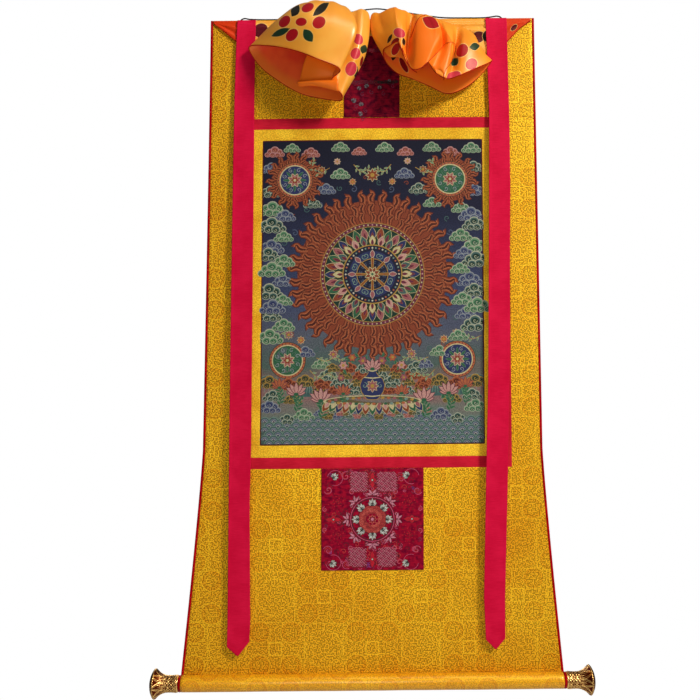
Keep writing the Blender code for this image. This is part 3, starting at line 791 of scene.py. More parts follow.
# The generic picture's own layout, in mm across from its middle and down from its top
picture = {
    "height": 553, "wheel": (0, 248),
    "clouds": (
        (-178, 22, 13, "pink"), (-146, 15, 11, "green"), (-112, 24, 12, "pink"),
        (-58, 14, 12, "green"), (-24, 22, 10, "pink"), (22, 15, 12, "green"), (60, 23, 11, "pink"),
        (108, 15, 12, "green"), (142, 24, 12, "pink"), (180, 17, 13, "green")),
    # pairs, one on each side: how far out, down, size, and the left and right tones
    "cloudPairs": (
        (84, 92, 13, "blue", "teal"), (58, 64, 13, "green", "blue"), (184, 52, 13, "blue", "teal"),
        (186, 96, 14, "teal", "blue"), (108, 118, 12, "teal", "green"),
        (120, 388, 13, "blue", "green"), (92, 410, 12, "green", "blue"),
        (184, 486, 15, "blue", "green"), (122, 500, 14, "green", "blue"),
        (152, 508, 12, "teal", "teal"), (184, 442, 15, "olive", "olive"),
        (150, 446, 14, "rust", "rust"), (120, 440, 14, "olive", "olive"),
        (92, 446, 12, "rust", "rust"), (178, 466, 13, "teal", "teal"),
        (142, 472, 12, "olive", "olive")),
    # the heaped clouds down both sides: place in from the side, size and tone, over and over
    "heap": ((12, 18, "green"), (36, 14, "blue"), (16, 19, "teal"), (42, 13, "green"),
             (20, 17, "blue"), (10, 16, "teal"), (34, 15, "green")),
    "heapTop": 128, "heapStep": 16.4, "heapCount": 15,
    "wheelFlames": ((131, 42, 34, 18), (114, 44, 28, 16), (99, 38, 24, 14)),
    "smallFlames": ((37, 19, 23, 13), (31, 17, 16, 11)),
    "medallions": ((-141, 74, "blue", 2.8), (141, 74, "green", 2.8), (-152, 402, "green", 1.2),
                   (152, 402, "blue", 1.2)),
    # on both sides: leafy sprays by their stems, and flowers
    "sprays": (((78, 52), (100, 62), (112, 46), (104, 36)), ((34, 46), (20, 60), (4, 52)),
               ((196, 360), (176, 366), (160, 352), (150, 362)),
               ((112, 420), (96, 434), (78, 426), (66, 436)),
               ((100, 398), (84, 404), (66, 398), (52, 404))),
    "flowers": ((92, 56, 8, "rust"), (150, 356, 9, "pink"), (128, 366, 8, "rustLight"),
                (70, 392, 9, "pink"), (64, 40, 7, "pinkLight"), (36, 78, 7, "rustLight")),
    "hills": ((-186, 446, 34, "teal"), (-150, 452, 28, "green"), (186, 446, 34, "teal"),
              (150, 452, 28, "green"), (-112, 448, 24, "teal"), (112, 448, 24, "teal")),
    "lotuses": ((-136, 462, 22), (-92, 474, 24), (92, 474, 24), (136, 462, 22), (-166, 450, 18),
                (166, 450, 18), (-52, 462, 18), (52, 462, 18)),
}


def drawFlames(draw, x, y, rows, layer):
    # rows of curling tongues, the outer row first
    for row, (radius, tongues, length, width) in enumerate(rows, 1):
        draw.ring(x, y, radius - length * 0.7, radius + 4, "rust", layer + row)
        for step in range(tongues):
            turn = 360 * (step + 0.5 * (row % 2)) / tongues
            lean = 1 if (step + row) % 3 else -1
            for share, paint, over in ((1.0, "rustDark", 0.0), (0.82, "rust", 0.2),
                                       (0.5, "rustLight", 0.35), (0.26, "rustDark", 0.5)):
                half = width * share / 2
                line = turned([(radius - 6, 0), (radius + length * 0.25, lean * width * 0.22),
                               (radius + length * 0.5, -lean * width * 0.06),
                               (radius + length * (0.42 + 0.35 * share), lean * width * 0.3)],
                              x, y, turn)
                draw.stroke(line, (half * 1.3, half * 1.9, half * 1.1, 0.3), paint,
                            layer + 0.3 + row + over + 0.1 * (step % 2), 8)
            draw.curl(*spotAt(x, y, turn, radius - 3, lean * width * 0.16), width * 0.26,
                      "rustLight", layer + 0.9 + row, turn, 1.2 * lean, 0.8)


def drawWheel(draw, x, y):
    drawFlames(draw, x, y, picture["wheelFlames"], 0.0)
    draw.ring(x, y, 86, 94, "plum", 4.2)
    for radius, paint in ((93.4, "gold"), (86.6, "gold")):
        draw.ring(x, y, radius - 0.6, radius + 0.6, paint, 4.4)
    for step in range(72):
        draw.disc(*spotAt(x, y, 360 * step / 72, 90), 1.5, "cream" if step % 3 else "pinkLight", 4.6, 8)
    draw.ring(x, y, 54, 87, "greenDark", 4.4)
    # two rows of lotus petals round the hub
    for count, base, length, width, tones, at in (
            (32, 62, 25, 14, ("blue", "pink", "green", "rust"), 4.7),
            (24, 52, 20, 13, ("cream", "teal", "pinkLight"), 5.6)):
        for step in range(count):
            paint = tones[step % len(tones)]
            angle = 360 * step / count
            over = at + 0.12 * (step % 2)
            draw.edged(petal(x, y, angle, length, width, base),
                       "gold" if paint == "cream" else "cream", paint, over, 0.9)
            draw.edged(petal(x, y, angle, length * 0.62, width * 0.42, base), "rustLight", "plum",
                       over + 0.4, 0.5)
    for start, end, paint, at in ((0, 14, "navy", 6.3), (14, 28, "navy", 6.3),
                                  (28, 42, "blue", 6.3), (42, 54, "navy", 6.3),
                                  (52, 54, "gold", 6.5), (27.4, 28.6, "gold", 6.5)):
        draw.ring(x, y, start, end, paint, at, sides=64)
    for step in range(48):
        draw.disc(*spotAt(x, y, 360 * step / 48, 48), 1.7,
                  ("white", "rustLight", "tealLight")[step % 3], 6.6, 8)
    for step in range(8):
        angle = 45 * step
        spoke = turned([(10, 0), (24, 0), (44, 0)], x, y, angle)
        draw.stroke(spoke, (3.4, 5.4, 2.6), "gold", 6.9, 6)
        draw.stroke(spoke, (1.2, 2.6, 0.8), "rust", 7.1, 6)
        draw.edged(petal(x, y, angle, 15, 9, 30), "white", "pink", 7.2, 0.8)
        for side in (-1, 1):
            draw.curl(*spotAt(x, y, angle + side * 4, 34, side * 9.5), 5.2, "tealLight", 7.0,
                      angle + 180, side * 1.2, 1.2)
            draw.curl(*spotAt(x, y, angle + 22.5 * side, 20.5, side * 3.6), 3.0, "slate", 7.0,
                      angle, side * 1.1, 0.9)
    draw.flower(x, y, 15, "rust", "cream", "gold", 7.4, 8, 22.5)
    draw.flower(x, y, 8, "cream", "plum", "green", 8.2, 8)


def drawMedallion(draw, x, y, ground, layer):
    draw.disc(x, y, 33, "greenDark", layer, 40)
    draw.ring(x, y, 27, 32, "rustLight", layer + 0.3)
    draw.ring(x, y, 26, 28, "cream", layer + 0.5)
    for step in range(30):
        draw.disc(*spotAt(x, y, 12 * step, 29.9), 1.2, "plum", layer + 0.6, 8)
    draw.disc(x, y, 26, ground, layer + 0.4, 36)
    for step in range(8):
        draw.curl(*spotAt(x, y, 45 * step + 22.5, 19.5), 4.4, "mist", layer + 0.8, 45 * step, 1.3, 1.0)
        draw.edged(petal(x, y, 45 * step, 13, 5, 9), "tealLight", "green", layer + 0.8, 0.5)
    draw.flower(x, y, 14, "pink", "cream", "gold", layer + 1.1, 8, 22.5)
    draw.flower(x, y, 8.5, "rust", "pinkLight", "cream", layer + 1.8, 6)


def drawVase(draw, x, y):
    # a treasure vase on a lotus seat, with sprays of flowers
    for step in range(15):
        side = step - 7
        for size, paint, at in ((22, ("rust", "green", "blue")[step % 3], 3.0),
                                (14, ("pinkLight", "cream", "pink")[step % 3], 3.3)):
            leaf = petal(x + side * 11, y + 42 - abs(side) * 0.5, 270 + side * 5, size, size * 0.62)
            draw.edged(leaf, "cream", paint, at + 0.1 * (step % 2), 0.9)
    draw.disc(x, y + 38, 88, "cream", 3.5, 40, 0.12)
    draw.disc(x, y + 37.5, 83, "olive", 3.6, 40, 0.10)
    for step in range(30):
        side = step / 14.5 - 1
        spread = 5.4 * math.sqrt(max(0.0, 1 - side * side)) * (-1, 1)[step % 2]
        draw.disc(x + side * 76, y + 37.5 + spread, 3.4, ("rustLight", "tealLight", "pink", "gold",
                                                          "green")[step % 5], 3.7, 8, 0.7)
    side = [(8, 36), (12, 33), (20, 22), (23, 10), (19, -2), (11, -8), (7, -14), (11, -20)]
    body = [(-out, down) for out, down in side] + side[::-1]
    draw.edged([(x + px, y + py) for px, py in body], "gold", "blue", 3.9, 1.2)
    draw.flower(x, y + 11, 12, "pink", "cream", "gold", 4.3, 8)
    for band, half in ((-17, 8), (-4.5, 15), (28, 14)):
        draw.stroke([(x - half, y + band), (x, y + band + 1.5), (x + half, y + band)],
                    (1.6, 2.2, 1.6), "cream", 4.4, 8)
    for side in (-1, 1):
        draw.curl(x + side * 14, y + 10, 5.5, "tealLight", 4.4, 90, side * 1.2, 1.1)
        draw.leafSpray([(x + side * 3, y - 18), (x + side * 20, y - 40), (x + side * 44, y - 34),
                        (x + side * 54, y - 12)], 11, "green", "greenLight", "greenDark", 2.6)
        for across, down, size, paint in ((17, -34, 9, "pink"), (36, -40, 8, "rustLight"),
                                          (52, -26, 9, "pinkLight"), (56, -4, 7, "pink")):
            draw.flower(x + side * across, y + down, size, paint, "plum", "gold", 3.8, 6)
    draw.lotus(x, y - 20, 20, "pinkLight", "plum", 3.9)


def drawShore(draw):
    # hills behind a lake of scalloped waves
    for x, y, size, paint in picture["hills"]:
        edge = paint + "Light"
        hill = [(x - size, y + 20), (x - size * 0.8, y), (x - size * 0.42, y - size * 0.42),
                (x, y - size * 0.55), (x + size * 0.42, y - size * 0.4), (x + size * 0.8, y),
                (x + size, y + 20)]
        draw.edged(hill, edge, paint, 0.6, 1.0)
        for step in range(7):
            side = (step - 3) / 3.4
            draw.stroke([(x + side * size * 0.4, y - size * 0.4 + abs(side) * 8),
                         (x + side * size * 0.75, y + 14)], (0.6, 1.3, 0.6), edge, 1.0, 4)
    for row in range(6):
        y = 512 + row * 8
        for step in range(-13, 14):
            x = step * 16 + (8 if row % 2 else 0)
            if abs(x) > 193:
                continue
            for radius, paint, over in ((9.4, "tealLight", 0.0), (8.3, "teal", 0.1),
                                        (6.0, "mist", 0.2), (5.2, "slate", 0.3),
                                        (3.0, "white", 0.4), (2.2, "blue", 0.5)):
                foot = min(y + 1.5, 551)
                arc = [(x + radius * math.cos(math.pi * turn / 10),
                        y - radius * math.sin(math.pi * turn / 10)) for turn in range(11)]
                draw.shape([(px, min(py, foot)) for px, py in arc], paint, 1.2 + 0.7 * row + over)
    for x, y, size in picture["lotuses"]:
        draw.leafSpray([(x, y + 34), (x + size * 0.2, y + 18), (x, y + 4)], size * 0.5, "green",
                       "greenLight", "greenDark", 2.2)
        draw.lotus(x, y, size, "pinkLight" if size > 20 else "rustLight", "plum", 2.8)


def makePicture():
    painting = Drawing(mounting["paintingTop"], mounting["paintingThick"] / 2)
    x, y = picture["wheel"]
    drawShore(painting)
    clouds = list(picture["clouds"])
    for out, down, size, left, right in picture["cloudPairs"]:
        clouds += [(-out, down, size, left), (out, down, size, right)]
    for across, down, size, tone in clouds:
        painting.cloud(across, down, size, tone, 0.8, -1 if across > 0 else 1)
    for side in (-1, 1):
        for step in range(picture["heapCount"]):
            inset, size, tone = picture["heap"][(step + (side > 0) * 3) % len(picture["heap"])]
            stray = 5 * math.sin(7.3 * step + 2 * side)
            down = picture["heapTop"] + picture["heapStep"] * step + 4 * math.sin(5.1 * step)
            painting.cloud(side * (198 - inset + stray), down, size, tone, 0.9 + 1.8 * (step % 4), -side)
    for step in range(26):
        # a thicket behind the vase, and small clouds along the shore
        across, low = 7.5 * step - 94, (1, -1)[step % 2]
        painting.cloud(across, 456 - 13 * (5 * step % 4), 10 + 2 * (step % 3),
                       ("olive", "rust", "teal")[step % 3], 0.6, low)
        painting.cloud(across, 497 + 5 * math.sin(3.7 * step), 8 + step % 3,
                       ("blue", "pink", "olive", "teal")[step % 4], 0.6, low)
    for step in range(44):
        painting.curl(*spotAt(x, y, 360 * (step + 0.5) / 44, 160 + 9 * (step % 3)),
                      6.5 - step % 3, ("slate", "teal", "rust")[step % 3], 0.7, 67 * step,
                      1.3 * (-1, 1)[step % 2], 1.3)
    for across, down, ground, layer in picture["medallions"]:
        if layer > 2:
            drawFlames(painting, across, down, picture["smallFlames"], layer - 1.6)
        drawMedallion(painting, across, down, ground, layer + (2.0 if layer > 2 else 0.0))
    drawWheel(painting, x, y)
    drawVase(painting, 0, 438)
    for side in (-1, 1):
        for line in picture["sprays"]:
            painting.leafSpray([(side * out, down) for out, down in line], 8, "greenLight",
                               "cream", "gold", 2.8)
        for across, down, size, paint in picture["flowers"]:
            painting.flower(side * across, down, size, paint, "cream", "gold", 3.0, 8)
    painting.flower(0, 66, 13, "rust", "cream", "gold", 4.2, 8)
    half, height = mounting["paintingHalf"] / mm - 0.6, picture["height"] - 0.6
    for line in (((-half, 0.6), (half, 0.6)), ((-half, height), (half, height)),
                 ((-half, 0.6), (-half, height)), ((half, 0.6), (half, height))):
        painting.stroke(line, (2.0, 2.0), "maroon", 4.6, 50)
    painting.finish("picture", "paint", "painted_cloth")


# The woven cloth of the patches: rings of lotus buds, in mm from the lower patch's middle
patches = {
    "middle": (0, 89.4), "budRing": 30, "lineRing": 38.6, "flowerRing": 43, "scale": 4.6,
    "lattices": ((-24, -65, 16, 18), (26, -65, 18, 18), (-26, 67, 16, 17), (26, 67, 17, 17)),
    "fields": ((-62, -30, 19), (-62, 27, 19), (64, -30, 19), (64, 27, 19)),
    "diamonds": ((0, -69), (0, 70), (-69, 0), (70, 0)),
    "corners": ((-66, -73, 30), (69, -75, 150), (-69, 75, 330), (68, 75, 210)),
    "scrolls": ((-47, -76, 9, 60, 1), (-78, -52, 8, 200, 1), (50, -73, 9, 120, -1),
                (80, -50, 8, 340, -1), (-46, 78, 9, 300, -1), (-78, 54, 9, 160, -1),
                (48, 76, 9, 240, 1), (78, 54, 8, 20, 1), (-84, -18, 5, 90, 1), (-84, 18, 5, 270, -1),
                (84, -18, 5, 90, -1), (84, 20, 5, 270, 1), (-36, -48, 6, 45, 1), (40, -48, 6, 135, -1),
                (-38, 50, 6, 315, -1), (38, 50, 6, 225, 1)),
    "upperBuds": ((-26, 135, 60, 8), (-9, 131, 120, 9), (13, 134, 90, 8), (-37, 158, 40, 10),
                  (-20, 166, 100, 9), (-25, 182, 20, 9), (-40, 112, 200, 7), (30, 120, 60, 6)),
}


def drawBud(draw, x, y, angle, size, paint="silver"):
    for lean, share in ((-52, 0.7), (52, 0.7), (-26, 0.9), (26, 0.9), (0, 1.0)):
        draw.edged(petal(x, y, angle + lean, size * share, size * 0.42), "maroon",
                   paint, 1.0 + share, size * 0.06)
        draw.shape(petal(x, y, angle + lean, size * share * 0.55, size * 0.16), "core",
                   1.3 + share)
    draw.stroke(turned([(size * 0.1, 0), (size * 0.8, 0)], x, y, angle), (0.5, 1.2, 0.4),
                "maroon", 2.4, 4)


def drawLattice(draw, x, y, width, height):
    # a field of fish scales, rounded at its corners
    pitch = patches["scale"]
    rows, columns = int(height / pitch * 2), int(width / pitch)
    for row in range(-rows, rows + 1):
        for column in range(-columns - 1, columns + 2):
            across = (column + 0.5 * (row % 2)) * pitch
            down = row * pitch / 2
            if (across / width) ** 4 + (down / height) ** 4 > 1.0:
                continue
            draw.disc(x + across, y + down, pitch * 0.55, "wine", 0.9, 6)
            tone = ("rosePale", "rose", "rosePale")[(row + 2 * column) % 3]
            draw.ring(x + across, y + down, pitch * 0.30, pitch * 0.47, tone,
                      1.0 + 0.1 * (row % 2), 0, 180, 6)
            draw.disc(x + across, y + down - pitch * 0.05, pitch * 0.13, "maroon", 1.2, 4)


def drawPatches():
    down = mounting["redFoot"]
    lift = mounting["brocadeThick"] / 2 + mounting["patchGap"] + mounting["patchThick"]
    lower, (x, y) = Drawing(down, lift), patches["middle"]
    # the whole ground is filled with small scrolls
    for step in range(330):
        across, drop = 87 * math.sin(step * 2.4) * ((step * 7) % 10 + 0.6) / 10, (step * 53) % 172 - 86
        if math.hypot(across, drop) < 42 or any(math.hypot(across - field[0], drop - field[1])
                                                < field[2] for field in patches["fields"]):
            continue
        edge = abs(across) > 70 or drop > 76
        tones = ("violet", "plum", "rose", "maroon") if edge else ("rose", "maroon", "coral", "maroon")
        lower.curl(across, y + drop, 3.2 + step % 4, tones[step % 4], 0.2, step * 67,
                   1.3 * (-1, 1)[step % 2], 1.0)
    lower.disc(x, y, 24.5, "field", 0.4, 32)
    line = patches["lineRing"]
    for start, end, paint, at in (
            (35.2, line - 1.4, "maroon", 0.6), (line - 0.7, line + 0.5, "rose", 0.8),
            (line + 0.8, line + 2.0, "maroon", 0.6), (25.2, 26.6, "maroon", 0.8)):
        lower.ring(x, y, start, end, paint, at)
    for step in range(64):
        lower.curl(*spotAt(x, y, step * 47, 11 + 12 * ((step * 7) % 11) / 11), 2.6,
                   ("coralPale", "wine")[step % 2], 0.9, step * 31, 1.1, 0.6)
    lower.flower(x, y, 8.5, "wine", "coralPale", "rosePale", 1.6, 8)
    for step in range(8):
        angle = 45 * step
        drawBud(lower, *spotAt(x, y, angle, patches["budRing"] - 6.5), angle, 14.5)
        spot = spotAt(x, y, angle, patches["flowerRing"])
        for lean in (-78, 78, -34, 34):
            leaf = petal(*spot, angle + lean, 12.5, 5.6)
            lower.edged(leaf, "maroon", "rosePale", 1.0 + abs(lean) / 100, 1.0)
        for side in (-1, 1):
            lower.curl(*spotAt(x, y, angle + 22.5 + side * 9, 44), 3.4, "rosePale", 0.9, angle,
                       side * 1.2, 0.9)
    for across, drop, width, height in patches["lattices"]:
        drawLattice(lower, across, y + drop, width, height)
    for across, drop, radius in patches["fields"]:
        for step in range(40):
            out = radius * 0.85 * ((step * 5) % 12 + 1) / 12
            lower.disc(*spotAt(across, y + drop, step * 67, out), 0.9 + 0.3 * (step % 3),
                       ("wine", "bright")[step % 2], 0.7, 6)
    for across, drop in patches["diamonds"]:
        upright = abs(drop) > abs(across)
        for step in range(4):
            length = 15 if (step % 2) == upright else 8
            leaf = petal(across, y + drop, 90 * step, length, 9)
            lower.edged(leaf, "maroon", "bright", 1.3 + 0.1 * step, 0.8)
        for radius, paint, at in ((2.8, "maroon", 1.9), (1.7, "silver", 2.0)):
            lower.disc(across, y + drop, radius, paint, at, 4)
    for across, drop, angle in patches["corners"]:
        lower.ring(across, y + drop, 13, 13.9, "rose", 0.9, angle - 140, angle + 140)
        drawBud(lower, across - 5, y + drop, angle, 13)
    for across, drop, radius, start, way in patches["scrolls"]:
        lower.curl(across, y + drop, radius, "rose", 0.9, start, 1.4 * way, 1.0)
        lower.curl(across, y + drop, radius * 0.72, "coral", 0.9, start + 40, 1.2 * way, 0.8)
    lower.finish("patchLowerWeave", "woven", "red_brocade")
    upper = Drawing(0.0, lift)
    for across, drop, angle, size in patches["upperBuds"]:
        drawBud(upper, across, drop, angle, size, "silverDark")
        upper.curl(across + 8, drop + 9, 4.5, "plum", 0.9, angle, 1.3, 0.9)
        upper.curl(across - 7, drop - 10, 4.5, "wine", 0.9, angle + 90, -1.3, 0.9)
    for step in range(150):
        across, drop = -48 + (step * 37) % 94, 60 + (step * 61) % 122
        # right of the middle the small scrolls take darker tones: painted shadow of the right puff
        tones = ("rose", "wine", "coral", "plum") if across < 4 else ("wine", "maroon", "plum", "core")
        upper.curl(across, drop, 2.4 + step % 3, tones[step % 4], 0.5, step * 71, 1.2, 0.9)
    upper.finish("patchUpperWeave", "woven", "red_brocade")


def makePatches():
    left, right, top = mounting["upperPatch"]
    half, seam = mounting["lowerPatchHalf"], cloth["seam"]
    lift = mounting["brocadeThick"] / 2 + mounting["patchGap"] + mounting["patchThick"] / 2
    sewnSheet("patchUpper", "patch_upper", "patchDarkSilk", "red_brocade", steady(left), steady(right),
              top, mounting["redTop"] - seam, mounting["patchThick"], lift)
    sewnSheet("patchLower", "patch_lower", "patchSilk", "red_brocade", steady(-half), steady(half),
              mounting["redFoot"], mounting["lowerPatchFoot"], mounting["patchThick"], lift)
    drawPatches()


ageing = {"tint": (0.75, 0.72, 0.64), "wear": (0.35, 0.62), "threads": 480.0, "specks": 520.0}


def makePaint():
    # painted and woven colours, a little worn, over a fine canvas
    for name, rough, worn, aged in (("paint", 0.7, 0.3, ageing["tint"]),
                                    ("woven", 0.55, 0.45, (0.85, 0.85, 0.85))):
        finish = Finish(name, {"Specular IOR Level": 0.2})
        colour = finish.node("VertexColor", {"layer_name": "paint"})
        colour = finish.vector("MULTIPLY", colour, aged)
        wear = finish.noise(finish.where(), ageing["specks"], 3.0, "3D")
        faded = finish.vector("MULTIPLY", colour, (1 - worn, 1 - worn, 1 - worn))
        finish.show("Base Color", finish.mix(finish.step(wear, *ageing["wear"]), faded, colour))
        finish.show("Roughness", rough + (wear - 0.5) * 0.2)
        finish.bump(wear, 0.15 * mm, 0.5)


def makeCanvas():
    # the ground of the painting: a night sky that pales to rose and teal near its foot
    canvas = Finish("canvas", {"Specular IOR Level": 0.2, "Roughness": 0.75})
    flat = canvas.flat()
    down = canvas.parts(flat)[1]
    grain = canvas.noise(flat, ageing["threads"], 3.0)
    drift = canvas.noise(canvas.vector("MULTIPLY", flat, (9.0, 26.0, 1.0)), 1.0, 4.0)
    top, height = mounting["paintingTop"], picture["height"] * mm
    share = (down - top) / height + (drift - 0.5) * 0.12
    stops = ((0.0, dye(26, 28, 50)), (0.22, dye(34, 37, 64)), (0.52, dye(66, 76, 116)),
             (0.66, dye(96, 102, 120)), (0.74, dye(84, 108, 104)), (0.82, dye(150, 112, 116)),
             (0.9, dye(112, 128, 124)), (1.0, dye(64, 92, 92)))
    ground = canvas.node("ValToRGB", {"stops": stops}, {"Fac": share})
    ground = canvas.vector("MULTIPLY", ground, ageing["tint"])
    darker = canvas.vector("MULTIPLY", ground, (0.62, 0.62, 0.62))
    canvas.show("Base Color", canvas.mix(canvas.step(grain, *ageing["wear"]), darker, ground))
    canvas.bump(grain, 0.15 * mm, 0.5)


def makeCanvasBack():
    # the painting's reverse is bare cotton
    back = Finish("canvasBack", {"Specular IOR Level": 0.2, "Roughness": 0.85})
    grain = back.noise(back.flat(), ageing["threads"], 3.0)
    back.show("Base Color", back.mix(grain, dye(178, 166, 138), dye(214, 204, 178)))
    back.bump(grain, 0.1 * mm, 0.5)


# The hanging ribbons

ribbons = {
    "thick": 1.4 * mm, "cell": 6 * mm, "hem": 2.4 * mm, "hemRise": 0.3 * mm,
    "squareEnd": 1115, "pointRows": 10, "weaveWidth": 38 * mm, "pointLength": 35 * mm,
    "cutWidth": 39 * mm, "topRows": (1, 2.5, 4, 5.5, 7, 8.5, 10, 13, 17, 22),
    "edgeShares": (0.0, 0.02, 0.06, 0.1),
    "left": {
        "rows": ((1, -232, 34.0, 3.9), (4, -232, 34.0, 4.8), (10, -232, 34.2, 6.6),
                 (60, -233, 35.5, 6.8), (150, -234, 36.5, 7.6), (255, -234, 38.0, 9.0),
                 (520, -234, 39.0, 11.0), (775, -234, 39.5, 12.5), (890, -235, 37.5, 12.0),
                 (1090, -234, 40.0, 10.0), (1150, -236, 38.0, 9.0)),
        "point": (1133, 1150, 1124)},
    "right": {
        "rows": ((1, 228, 39.0, 3.9), (4, 228, 39.0, 4.8), (10, 228, 39.0, 6.6),
                 (60, 229, 38.0, 6.8), (175, 231, 36.5, 7.8), (320, 230, 38.5, 9.5),
                 (670, 224, 37.5, 12.0), (820, 220, 38.5, 12.5), (1050, 214, 37.0, 11.0),
                 (1142, 216, 33.0, 9.5)),
        "point": (1124, 1142, 1122)},
}


def tableValue(rows, at, column):
    if at <= rows[0][0]:
        return rows[0][column]
    for low, high in zip(rows, rows[1:]):
        if at <= high[0]:
            share = (at - low[0]) / (high[0] - low[0])
            return low[column] + (high[column] - low[column]) * share
    return rows[-1][column]


def makeRibbon(side):
    look = ribbons[side]
    rows, (leftFoot, tipFoot, rightFoot) = look["rows"], look["point"]
    downs = list(ribbons["topRows"])
    step = ribbons["cell"] / mm
    while downs[-1] + step < ribbons["squareEnd"]:
        downs.append(downs[-1] + step)
    downs.append(ribbons["squareEnd"])
    lengths = [(down, 0.0) for down in downs]
    lengths += [(downs[-1], (row + 1) / ribbons["pointRows"]) for row in range(ribbons["pointRows"])]
    shares = [*ribbons["edgeShares"], *(0.1 + 0.8 * step / 9 for step in range(1, 9)),
              0.9, 0.94, 0.98, 1.0]

    def place(share, length):
        down, pointShare = length
        shoulder = leftFoot if share < 0.5 else rightFoot
        foot = tipFoot + (shoulder - tipFoot) * abs(share - 0.5) * 2
        down += (foot - down) * pointShare
        centre, width, lift = (tableValue(rows, down, column) * mm for column in (1, 2, 3))
        inner = min(share, 1 - share) * width
        rise = ribbons["hemRise"] * (1 - smoothStep(abs(inner - ribbons["hem"] / 2) / ribbons["hem"]))
        return hang(centre + (share - 0.5) * width, down * mm, lift + rise)

    def uv(share, length):
        down, pointShare = length
        return ((share - 0.5) * ribbons["weaveWidth"],
                down * mm + pointShare * ribbons["pointLength"])

    item = gridPiece("ribbon" + side.title(), place, shares, lengths, ["ribbonSilk"], uv=uv)
    thicken(item, ribbons["thick"])
    onBody(item, "ribbon_" + side, "crimson_ribbon")
    (tipFoot - rows[0][0]) * mm


# The roller, its end rings and knobs

roller = {
    "radius": 14.3 * mm, "ringRadius": 14.1 * mm, "ringWidth": 4.2 * mm,
    "knobInner": 336.4 * mm, "wave": 0.18 * mm, "waves": (37 * mm, 13 * mm), "endCut": 0.5 * mm,
    "girth": 90 * mm, "rows": 150, "sides": 72,
    "endRadii": (12.4 * mm, 13.6 * mm), "ringSides": 96, "ringRows": 10, "ringRound": 1.3 * mm,
    "knobOutline": ((0.0, 13.2), (1.0, 14.0), (2.2, 14.1), (3.4, 14.6), (9.0, 14.2),
                    (16.0, 14.0), (22.5, 14.4), (28.5, 16.2), (33.5, 19.0), (37.5, 22.4),
                    (40.2, 25.1), (41.7, 25.4), (43.1, 24.2), (45.9, 19.6), (48.2, 13.6),
                    (49.7, 7.0), (50.2, 0.0)),
}
rollerCentre = Vector((0.0, -cloth["wrapRadius"], -cloth["topDrop"] - cloth["rollerDown"]))
rollerSlope = math.atan(cloth["skew"])
rollerAlong = Vector((math.cos(rollerSlope), 0.0, math.sin(rollerSlope)))
rollerUp = Vector((-math.sin(rollerSlope), 0.0, math.cos(rollerSlope)))


def roundPlace(along, turn, radius):
    # turn 0 is the top, and a quarter turn faces the front
    return (rollerCentre + rollerAlong * along
            + (rollerUp * math.cos(turn) + Vector((0, -1, 0)) * math.sin(turn)) * radius)


def turnedPiece(name, outline, sides, look, radiusAt=None):
    # outline: (along, radius) in metres, closed by its first and last points on the axis
    def place(side, index):
        along, radius = outline[index]
        turn = 2 * math.pi * side
        if radiusAt:
            radius = radiusAt(along, turn, radius)
        return roundPlace(along, turn, radius)

    def uv(side, index):
        return (outline[index][0], side * roller["girth"])

    shares = evenShares(sides, ring=True)
    item = gridPiece(name, place, shares, range(len(outline)), [look], closed=1, uv=uv)
    closeEnds(item)
    return item


def makeRoller():
    half = roller["knobInner"] - roller["ringWidth"] - cloth["seam"]
    count, endCut, (inner, outer) = (roller[key] for key in ("rows", "endCut", "endRadii"))
    long, short = roller["waves"]
    outline = [(-half, inner), (-half, outer)]
    outline += [(-half + endCut + 2 * (half - endCut) * step / count, roller["radius"])
                for step in range(count + 1)]
    outline += [(half, outer), (half, inner)]

    def radiusAt(along, turn, radius):
        wave = math.sin(along / long + 2 * turn) + 0.6 * math.sin(along / short - turn)
        return radius - roller["wave"] * (0.8 + 0.5 * wave)

    item = turnedPiece("roller", outline, roller["sides"], "rollerBrocade", radiusAt)
    onBody(item, "roller", "gold_brocade")
    for name, sign in bothSides:
        outer, width = sign * roller["knobInner"], -sign * roller["ringWidth"]
        steps = roller["ringRows"]
        ring = [(outer + width * (0.5 - 0.5 * math.cos(math.pi * step / steps)),
                 roller["ringRadius"] - roller["ringRound"] * (1 - math.sin(math.pi * step / steps)))
                for step in range(steps + 1)]
        piece = turnedPiece("rollerRing" + name, ring, roller["ringSides"], "pipingSilk")
        onBody(piece, "roller_ring_" + name.lower(), "red_binding")


knobChase = {
    "depth": 0.8 * mm, "repeats": 8, "sides": 224, "rows": 120, "scrolls": (3.5, 24.0),
    "petals": (23.0, 40.0), "crossing": 10.2, "loops": (6.0, 11.1, 16.2, 21.3),
    "rim": 43.6, "capLines": ((46.8, 0.5), (49.9, 0.4)), "fade": 6 * mm,
    "brass": dye(255, 206, 122), "recessShade": dye(96, 30, 12),
}


def ridge(away, half):
    return math.exp(-(away / half) ** 2)


